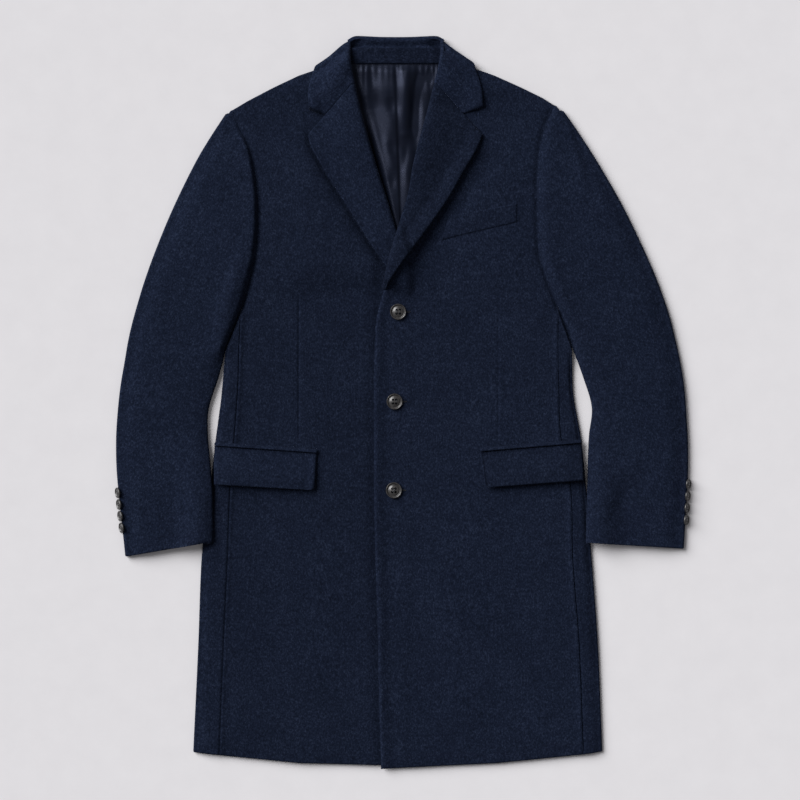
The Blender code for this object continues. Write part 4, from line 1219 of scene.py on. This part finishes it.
def pocket(side):
    """A flap and the jet that it hangs from."""
    top_inner, top_outer, low_outer, low_inner = column(FLAP, side)
    angle = np.linspace(0, np.pi / 2, 9)[:, None]
    sides = low_inner - top_inner, low_outer - low_inner, top_outer - top_inner
    down, over, along = (unit(line) for line in sides)
    centre = low_inner - FLAP_CORNER * down + FLAP_CORNER * over
    corner = centre - FLAP_CORNER * np.cos(angle) * over + FLAP_CORNER * np.sin(angle) * down

    def flap_lift(grid):
        height, middle, half_width = FLAP_CURL[side]
        curl = height * bell(grid.from_inner - middle, half_width)
        settle = 1 - FLAP_SETTLE[side] * bell(grid.from_inner, 26)
        lift = FLAP_LIFT * ease(grid.from_start, 2, 44)[:, None] * settle
        return lift + curl + 0.3 * waves(grid.x + 60, grid.y)

    near_end, far_end = np.concatenate([[top_inner], corner]), np.array([top_outer, low_outer])
    patch(named("flap", side), near_end, far_end, WOOL, flap_lift, WOOL_FLAP[side])
    upward = np.array([-along[1], along[0]]) * np.sign(along[0])
    high, low = (SEAM_GAP + JET_WIDTH) * upward, SEAM_GAP * upward

    def jet_lift(grid):
        return JET_RISE * np.clip(grid.from_start / JET_WIDTH, 0, 1)[:, None] + 0 * grid.x

    jet = np.array([top_inner + high, top_inner + low]), np.array([top_outer + high, top_outer + low])
    patch(named("flap_jet", side), *jet, JET_THICKNESS, jet_lift, WOOL_FLAP[side])


# Half section of a button, from its middle underneath, over the rim and the groove to its domed top.
#   share of the radius, share of the thickness
BUTTON_SECTION = [
    (0.0, 0.0),
    (0.78, 0.0),
    (0.92, 0.10),
    (0.985, 0.32),
    (1.0, 0.52),
    (0.99, 0.70),
    (0.965, 0.83),
    (0.935, 0.89),
    (0.90, 0.88),
    (0.865, 0.80),
    (0.83, 0.69),
    (0.795, 0.57),
    (0.76, 0.47),
    (0.73, 0.43),
    (0.70, 0.45),
    (0.65, 0.54),
    (0.58, 0.655),
    (0.50, 0.76),
    (0.40, 0.86),
    (0.28, 0.94),
    (0.14, 0.985),
    (0.0, 1.0),
]
# The holes, as shares of the radius, and the pairs that a thread joins: in two bars, or crosswise.
HOLE_SPOTS = [(-0.2, 0.21), (0.2, 0.21), (-0.2, -0.21), (0.2, -0.21)]
BARS, CROSS = [(0, 2), (1, 3)], [(0, 3), (1, 2)]
# How each button is sewn on: the pairs, and how far the threads stand above it.
FRONT_STITCHES = [(BARS, 0.6), (BARS, 0.1), (CROSS, 0.5)]
SLEEVE_STITCHES = (BARS, 0.3)
# A thread's radius as a share of the hole's width, where it starts and how high it gets as shares of the
# button's thickness, and its bends at both holes as a share of their distance.
THREAD_RADIUS, THREAD_LOW, THREAD_HIGH, THREAD_BEND = 0.08, 0.3, 0.95, 0.22
# Thread round a buttonhole: its radius and how far its middle stands above the cloth.
LOOP_RADIUS, LOOP_HEIGHT = 0.45, 0.1


def in_order(mesh):
    """A copy of a mesh with its points and faces in a fixed order, because a boolean's order varies."""
    points = np.array([tuple(point.co) for point in mesh.vertices])
    order = np.lexsort(points.T)
    place = np.argsort(order)
    faces = []
    for polygon in mesh.polygons:
        corners = place[list(polygon.vertices)]
        faces.append(np.roll(corners, -corners.argmin()).tolist())
    copy = bpy.data.meshes.new("ordered")
    copy.from_pydata(points[order].tolist(), [], sorted(faces))
    return copy


def turned_disc(radius, thickness, hole):
    """A button's mesh: the turned section with its four holes cut, in millimetres about its own middle."""
    disc = bmesh.new()
    line = [disc.verts.new((share * radius, 0, high * thickness)) for share, high in BUTTON_SECTION]
    edges = [disc.edges.new(pair) for pair in zip(line, line[1:])]
    bmesh.ops.spin(disc, geom=line + edges, axis=(0, 0, 1), cent=(0, 0, 0), angle=2 * math.pi, steps=56)
    bmesh.ops.remove_doubles(disc, verts=disc.verts, dist=1e-4)
    bmesh.ops.recalc_face_normals(disc, faces=disc.faces)
    drills = bmesh.new()
    for x, y in HOLE_SPOTS:
        place = Matrix.Translation((x * radius, y * radius, thickness / 2))
        sizes = {"radius1": hole / 2, "radius2": hole / 2, "depth": 2 * thickness}
        bmesh.ops.create_cone(drills, cap_ends=True, segments=18, matrix=place, **sizes)
    solids = []
    for form in (disc, drills):
        mesh = bpy.data.meshes.new("turning")
        form.to_mesh(mesh)
        form.free()
        solids.append(bpy.data.objects.new("turning", mesh))
        bpy.context.scene.collection.objects.link(solids[-1])
    cut = solids[0].modifiers.new("holes", "BOOLEAN")
    cut.object = solids[1]
    evaluated = solids[0].evaluated_get(bpy.context.evaluated_depsgraph_get())
    found = in_order(evaluated.to_mesh())
    for solid in solids:
        bpy.data.objects.remove(solid)
    return found


def tube(path, radius, beside, closed=False, sides=8):
    """Vertices and faces of a thread along a flat path, where beside is square to the path's plane."""
    path = np.asarray(path, float)
    ahead, behind = np.roll(path, -1, axis=0), np.roll(path, 1, axis=0)
    if not closed:
        ahead[-1], behind[0] = path[-1], path[0]
    across = unit(np.cross(beside, ahead - behind))
    turn = 2 * np.pi * np.arange(sides) / sides
    rings = np.cos(turn)[:, None] * across[:, None] + np.sin(turn)[:, None] * np.asarray(beside, float)
    points = (path[:, None] + radius * rings).reshape(-1, 3)
    faces = []
    count = len(path)
    for row in range(count if closed else count - 1):
        one, two = row * sides, (row + 1) % count * sides
        for k in range(sides):
            after = (k + 1) % sides
            faces.append([one + k, one + after, two + after, two + k])
    if not closed:
        faces += [list(range(sides))[::-1], [(count - 1) * sides + k for k in range(sides)]]
    return points, faces


def stitch(start, end, low, high):
    """Path of a thread up through one hole, across and down through the other."""
    start, end = np.array([*start, 0.0]), np.array([*end, 0.0])
    turn = np.linspace(0, np.pi / 2, 5)[:, None]
    bend = THREAD_BEND * np.linalg.norm(end - start)
    over = unit(end - start)
    rising = start + bend * (1 - np.cos(turn)) * over + (high - bend + bend * np.sin(turn)) * UP
    falling = end - bend * (1 - np.cos(turn[::-1])) * over + (high - bend + bend * np.sin(turn[::-1])) * UP
    return np.concatenate([[start + low * UP], rising, falling, [end + low * UP]])


def thread_piece(name, parts, material):
    """All the threads of one kind as one piece, from tubes in millimetres of the coat."""
    points, faces, first = [], [], 0
    for tube_points, tube_faces in parts:
        points.append(tube_points)
        faces += [[first + corner for corner in face] for face in tube_faces]
        first += len(tube_points)
    mesh = bpy.data.meshes.new(name)
    mesh.from_pydata(to_frame(np.concatenate(points)).tolist(), [], faces)
    add_piece(name, mesh, material)


def button(name, sizes, place, axis, stitches, threads):
    """One button at a place in the coat with its axis, and the threads through its holes."""
    radius, thickness, hole = sizes
    pairs, slack = stitches
    mesh = turned_disc(radius, thickness, hole)
    turn = Vector(axis).to_track_quat("Z", "Y").to_matrix().to_4x4()
    place = np.asarray(place, float)
    mesh.transform(Matrix.Translation(to_frame(place)) @ turn @ Matrix.Scale(MM, 4))
    add_piece(f"{name}_horn", mesh, HORN, BUTTON_SHARP, node=name)
    turn = np.array(turn)[:3, :3]
    for start, end in pairs:
        start, end = radius * np.array(HOLE_SPOTS[start]), radius * np.array(HOLE_SPOTS[end])
        path = stitch(start, end, THREAD_LOW * thickness, THREAD_HIGH * thickness + slack)
        beside = unit(np.cross(UP, [*(end - start), 0.0]))
        points, faces = tube(path, THREAD_RADIUS * hole, beside)
        threads.append((points @ turn.T + place, faces))


def front_buttons(threads):
    for number, ((x, y), stitches) in enumerate(zip(FRONT_BUTTON_PLACES, FRONT_STITCHES), 1):
        height = float(pile.seat(np.array([x]), np.array([y]), 10, 4)[0])
        button(f"button_{number}", FRONT_BUTTON, (x, y, height), (0, 0, 1), stitches, threads)


def sleeve_buttons(side, threads):
    outer = sleeve_curves(side)[1]
    line = outer[outer[:, 1] < 0][::-1]
    facing = outward(line, (side * 900, 0))
    high_y, low_y = SLEEVE_BUTTON_SPAN[side]
    tilt = math.radians(SLEEVE_BUTTON_TILT)
    for number, y in enumerate(np.linspace(high_y, low_y, SLEEVE_BUTTONS), 1):
        x, out_x, out_y = (np.interp(y, line[:, 1], values) for values in (line[:, 0], *facing.T))
        out = unit(np.array([out_x, out_y, 0.0]))
        axis = math.sin(tilt) * out + math.cos(tilt) * UP
        place = np.array([x, y, FOLD_RADIUS]) - FOLD_RADIUS * out + (FOLD_RADIUS + SEAM_GAP) * axis
        name = f"{named('sleeve_button', side)}_{number}"
        button(name, SLEEVE_BUTTON, place, axis, SLEEVE_STITCHES, threads)


def buttonholes():
    """The far end of each buttonhole, which shows beside its button as a stitched loop."""
    loops = []
    turn = np.linspace(-np.pi / 2, np.pi / 2, 9)[:, None]
    for x, y in FRONT_BUTTON_PLACES:
        round_end = np.hstack([np.cos(turn), np.sin(turn)]) * HOLE_HALF_WIDTH
        plan = np.concatenate([[x + HOLE_FAR, y] + round_end, [x + HOLE_NEAR, y] - round_end])
        heights = pile.seat(plan[:, 0], plan[:, 1], 0, 2) - SEAM_GAP + LOOP_HEIGHT
        loops.append(tube(np.hstack([plan, heights[:, None]]), LOOP_RADIUS, UP, closed=True))
    thread_piece("buttonhole_threads", loops, HOLE_THREAD)


def chest_welt():
    top_inner, top_outer, low_outer, low_inner = np.array(CHEST_WELT, float)

    def lift(grid):
        return 0.5 * (1 - grid.share) * ease(grid.to_end, 0, 20)[:, None]

    near_end, far_end = np.array([top_inner, low_inner]), np.array([top_outer, low_outer])
    patch("chest_welt", near_end, far_end, WELT_THICKNESS, lift, WOOL_BODY)


# ---------------------------------------------------------------- materials


class Finish:
    """A material with the calls that its nodes are made with."""

    def __init__(self, name):
        self.material = bpy.data.materials.new(name)
        self.material.use_nodes = True
        self.tree = self.material.node_tree
        self.shader = self.tree.nodes["Principled BSDF"]
        self.place = self.add("ShaderNodeTexCoord", "Object")

    def add(self, kind, output, inputs=None, **settings):
        """Adds a node with its settings and inputs, and gives one of its outputs."""
        node = self.tree.nodes.new(kind)
        for key, value in settings.items():
            setattr(node, key, value)
        for key, value in (inputs or {}).items():
            if isinstance(value, bpy.types.NodeSocket):
                self.tree.links.new(value, node.inputs[key])
            else:
                node.inputs[key].default_value = value
        return node.outputs[output]

    def noise(self, vector, scale, detail, roughness=0.5):
        inputs = {"Vector": vector, "Scale": scale, "Detail": detail, "Roughness": roughness}
        return self.add("ShaderNodeTexNoise", 0, inputs)

    def wave(self, scale, distortion, output, direction):
        inputs = {"Vector": self.place, "Scale": scale, "Distortion": distortion}
        return self.add("ShaderNodeTexWave", output, inputs, bands_direction=direction)

    def combined(self, operation, *values):
        return self.add("ShaderNodeMath", 0, dict(enumerate(values)), operation=operation)

    def colour(self, value, *stops):
        """The base colour over a value: at each stop a place and a colour."""
        shade = self.add("ShaderNodeValToRGB", 0, {"Fac": value})
        elements = shade.node.color_ramp.elements
        elements[0].position, elements[1].position = stops[0][0], stops[-1][0]
        for place, _ in stops[1:-1]:
            elements.new(place)
        for element, (_, colour) in zip(elements, stops):
            element.color = (*colour, 1)
        self.tree.links.new(shade, self.shader.inputs["Base Color"])

    def relief(self, height, strength, distance):
        inputs = {"Height": height, "Strength": strength, "Distance": distance}
        self.tree.links.new(self.add("ShaderNodeBump", 0, inputs), self.shader.inputs["Normal"])

    def gloss(self, values):
        for key, value in values.items():
            self.shader.inputs[key].default_value = value


# Fibres of the melange, from the darkest to the lightest.
NAVY = np.array([(0.0038, 0.0059, 0.0134), (0.0076, 0.0116, 0.0259), (0.0200, 0.0284, 0.0556)])
WOOL_GLOSS = {
    "Roughness": 0.95,
    "Specular IOR Level": 0.05,
    "Sheen Weight": 0.40,
    "Sheen Roughness": 0.20,
    "Sheen Tint": (0.55, 0.66, 1.0, 1.0),
}
# Lining colours: soft patches of painted sheen, from the darker to the lighter colour.
SATIN_PAINTED_LOW_SHEEN, SATIN_PAINTED_HIGH_SHEEN = (0.0028, 0.0041, 0.0092), (0.0045, 0.0064, 0.0136)
SATIN_GLOSS = {"Roughness": 0.38, "Specular IOR Level": 0.30, "Specular Tint": (0.58, 0.66, 1.0, 1.0)}
HORN_DARK, HORN_LIGHT = (0.012, 0.011, 0.012), (0.056, 0.053, 0.052)
HORN_GLOSS = {"Roughness": 0.36, "Specular IOR Level": 0.85}
CARD_DARK, CARD_LIGHT = (0.775, 0.760, 0.785), (0.800, 0.785, 0.810)
CARD_GLOSS = {"Roughness": 0.9, "Specular IOR Level": 0.1}


def wool_material(name, turn, painted_light_factor):
    """Milled wool: a melange of dark and light fibres under a short nap, turned with its cloth's grain. A
    factor scales all its colours, which paints the piece lighter or darker as painted light and shade.
    """
    wool = Finish(name)
    grain = {"Vector": wool.place, "Rotation": (0, 0, math.radians(turn))}
    turned = wool.add("ShaderNodeMapping", 0, grain)
    streak = wool.add("ShaderNodeMapping", 0, {"Vector": turned, "Scale": (1.0, 0.62, 1.0)})
    fibres = wool.noise(streak, 900.0, 3.0, 0.7)
    cross = wool.noise(streak, 480.0, 2.0, 0.6)
    mottle = wool.noise(turned, 240.0, 3.0, 0.6)
    cloud = wool.noise(wool.place, 90.0, 3.0, 0.6)
    broad = wool.noise(wool.place, 14.0, 2.0)
    blend = wool.combined("ADD", fibres, cross)
    shade = wool.combined("MULTIPLY", blend, 0.5)
    for value, share in ((mottle, 0.24), (cloud, 0.16), (broad, 0.08)):
        shade = wool.combined("MULTIPLY_ADD", value, share, shade)
    # The factor scales the fibres' colours: painted light and shade that makes this piece lighter or
    # darker.
    dark, middle, light = painted_light_factor * NAVY
    wool.colour(shade, (0.60, dark), (0.76, middle), (0.92, light))
    wool.gloss(WOOL_GLOSS)
    wool.relief(wool.combined("MULTIPLY_ADD", mottle, 0.5, blend), 0.55, 0.0006)
    return wool.material


def satin_material(name):
    """Lining satin: fine ribs, a soft gloss, and soft patches of painted sheen in its colour."""
    satin = Finish(name)
    satin.colour(satin.noise(satin.place, 60.0, 3.0), (0.3, SATIN_PAINTED_LOW_SHEEN), (0.7, SATIN_PAINTED_HIGH_SHEEN))
    satin.gloss(SATIN_GLOSS)
    satin.relief(satin.wave(900.0, 1.5, 0, "Y"), 0.12, 0.0002)
    return satin.material


def horn_material(name):
    """Dark horn: cloudy grey-brown with fine streaks, polished."""
    horn = Finish(name)
    streak = horn.add("ShaderNodeMapping", 0, {"Vector": horn.place, "Scale": (1.0, 0.3, 1.0)})
    horn.colour(horn.noise(streak, 420.0, 5.0, 0.6), (0.35, HORN_DARK), (0.72, HORN_LIGHT))
    horn.gloss(HORN_GLOSS)
    horn.relief(horn.noise(horn.place, 1500.0, 2.0), 0.1, 0.0001)
    return horn.material


def thread_material(name, dark, light):
    """Twisted buttonhole thread, glossier than the cloth."""
    thread = Finish(name)
    twist = thread.wave(700.0, 2.0, 1, "DIAGONAL")
    thread.colour(twist, (0.2, dark), (0.8, light))
    thread.gloss({"Roughness": 0.5})
    thread.relief(twist, 0.3, 0.0001)
    return thread.material


def floor_material():
    """Pale matt card with a faint tooth."""
    card = Finish("pale_card")
    card.colour(card.noise(card.place, 26.0, 6.0, 0.6), (0.3, CARD_DARK), (0.7, CARD_LIGHT))
    card.gloss(CARD_GLOSS)
    return card.material


def wool_pair(name, turns, painted_light_factors):
    """The wool of a right and a left piece: the turn of its grain in degrees, and the factor of painted
    light and shade that makes it lighter or darker.
    """
    made = {}
    for side, turn, painted_light_factor in zip((RIGHT, LEFT), turns, painted_light_factors):
        made[side] = wool_material(named(f"wool_{name}", side), turn, painted_light_factor)
    return made


# The last numbers are painted light and shade: factors that make each piece lighter or darker to stand for
# how the light falls on it, not a difference in its cloth.
WOOL_BODY = wool_material("wool_body", 0, 1.02)
WOOL_FRONT = wool_pair("front", (0, 0), (1.02, 1.07))
WOOL_FLAP = wool_pair("flap", (4, -4), (1.08, 0.96))
WOOL_SLEEVE = wool_pair("sleeve", (21, -21), (1.12, 1.10))
WOOL_LAPEL = wool_pair("lapel", (-20, 20), (1.14, 0.87))
WOOL_COLLAR = wool_pair("collar", (35, -35), (1.18, 1.20))
WOOL_BAND = wool_material("wool_band", 90, 1.26)
WOOL_STAND = wool_material("wool_stand", 90, 0.87)
SATIN = satin_material("lining_satin")
HORN = horn_material("dark_horn")
# The button thread's light greys are a painted highlight: lighter than the dark thread, to stand for its
# glint.
BUTTON_THREAD_PAINTED_GLINT = thread_material("button_thread", (0.030, 0.032, 0.040), (0.110, 0.114, 0.125))
HOLE_THREAD = thread_material("buttonhole_thread", (0.0015, 0.0022, 0.0045), (0.0055, 0.0075, 0.0140))

# ---------------------------------------------------------------- stage, light and camera

# The picture: millimetres of a pixel, pixels of a side, and where in the coat its middle lies. Distance
# of the camera from the cloth in metres, and width of its sensor.
PIXEL, PICTURE, PICTURE_CENTRE = 1.4, 800, (5.6, 4.2)
CAMERA_DISTANCE, SENSOR = 4.0, 36.0
# Side and height of the floor in metres.
FLOOR_SIZE, FLOOR_HEIGHT = 12, -0.0004
# Strength and colour of the light all round, and colour of the backdrop.
STUDIO_STRENGTH, STUDIO_COLOUR, BACKDROP_COLOUR = 0.20, (1.0, 0.99, 1.0, 1), (0.73, 0.715, 0.74, 1)
# Key light: strength, width in degrees and where it comes from.
KEY_STRENGTH, KEY_WIDTH, KEY_FROM = 4.02, 46, (-0.66, 0.49, 0.57)


def stage():
    bpy.ops.mesh.primitive_plane_add(size=FLOOR_SIZE)
    floor = bpy.context.object
    floor.name = "floor"
    floor.location.z = FLOOR_HEIGHT
    floor.data.materials.append(floor_material())


def world():
    """Even studio light, with a plain pale backdrop where the world is seen directly."""
    scene = bpy.context.scene
    scene.world = bpy.data.worlds.new("studio")
    scene.world.use_nodes = True
    tree = scene.world.node_tree
    nodes, links = tree.nodes, tree.links
    nodes.clear()
    output = nodes.new("ShaderNodeOutputWorld")
    light = nodes.new("ShaderNodeBackground")
    light.inputs["Color"].default_value = STUDIO_COLOUR
    light.inputs["Strength"].default_value = STUDIO_STRENGTH
    backdrop = nodes.new("ShaderNodeBackground")
    backdrop.inputs["Color"].default_value = BACKDROP_COLOUR
    path = nodes.new("ShaderNodeLightPath")
    mix = nodes.new("ShaderNodeMixShader")
    links.new(path.outputs["Is Camera Ray"], mix.inputs[0])
    links.new(light.outputs[0], mix.inputs[1])
    links.new(backdrop.outputs[0], mix.inputs[2])
    links.new(mix.outputs[0], output.inputs[0])
    scene.view_settings.view_transform = "Standard"


def key_light():
    """A wide soft light from the upper left of the picture."""
    light = bpy.data.lights.new("key", "SUN")
    light.energy = KEY_STRENGTH
    light.angle = math.radians(KEY_WIDTH)
    lamp = bpy.data.objects.new("key", light)
    lamp.rotation_mode = "QUATERNION"
    lamp.rotation_quaternion = Vector(KEY_FROM).to_track_quat("Z", "Y")
    bpy.context.scene.collection.objects.link(lamp)


def camera():
    data = bpy.data.cameras.new("camera")
    data.sensor_width = SENSOR
    data.lens = SENSOR * CAMERA_DISTANCE / (PICTURE * PIXEL * MM)
    eye = bpy.data.objects.new("camera", data)
    x, y, _ = to_frame(np.array([*PICTURE_CENTRE, 0.0]))
    eye.location = (x, y, CAMERA_DISTANCE + FOLD_RADIUS * MM)
    bpy.context.scene.collection.objects.link(eye)
    bpy.context.scene.camera = eye


# ---------------------------------------------------------------- the coat


def coat():
    neck_band()
    for side in (RIGHT, LEFT):
        panel(side, up=-1)
    lining()
    stand()
    for side in (RIGHT, LEFT):
        side_panel(side)
    panel(RIGHT, up=1)
    lapel(RIGHT)
    panel(LEFT, up=1)
    chest_welt()
    lapel(LEFT)
    for side in (RIGHT, LEFT):
        wing(side)
        pocket(side)
        sleeve(side, up=1)
        sleeve(side, up=-1)
    threads = []
    front_buttons(threads)
    for side in (RIGHT, LEFT):
        sleeve_buttons(side, threads)
    thread_piece("button_threads", threads, BUTTON_THREAD_PAINTED_GLINT)
    buttonholes()


stage()
world()
key_light()
camera()
coat()
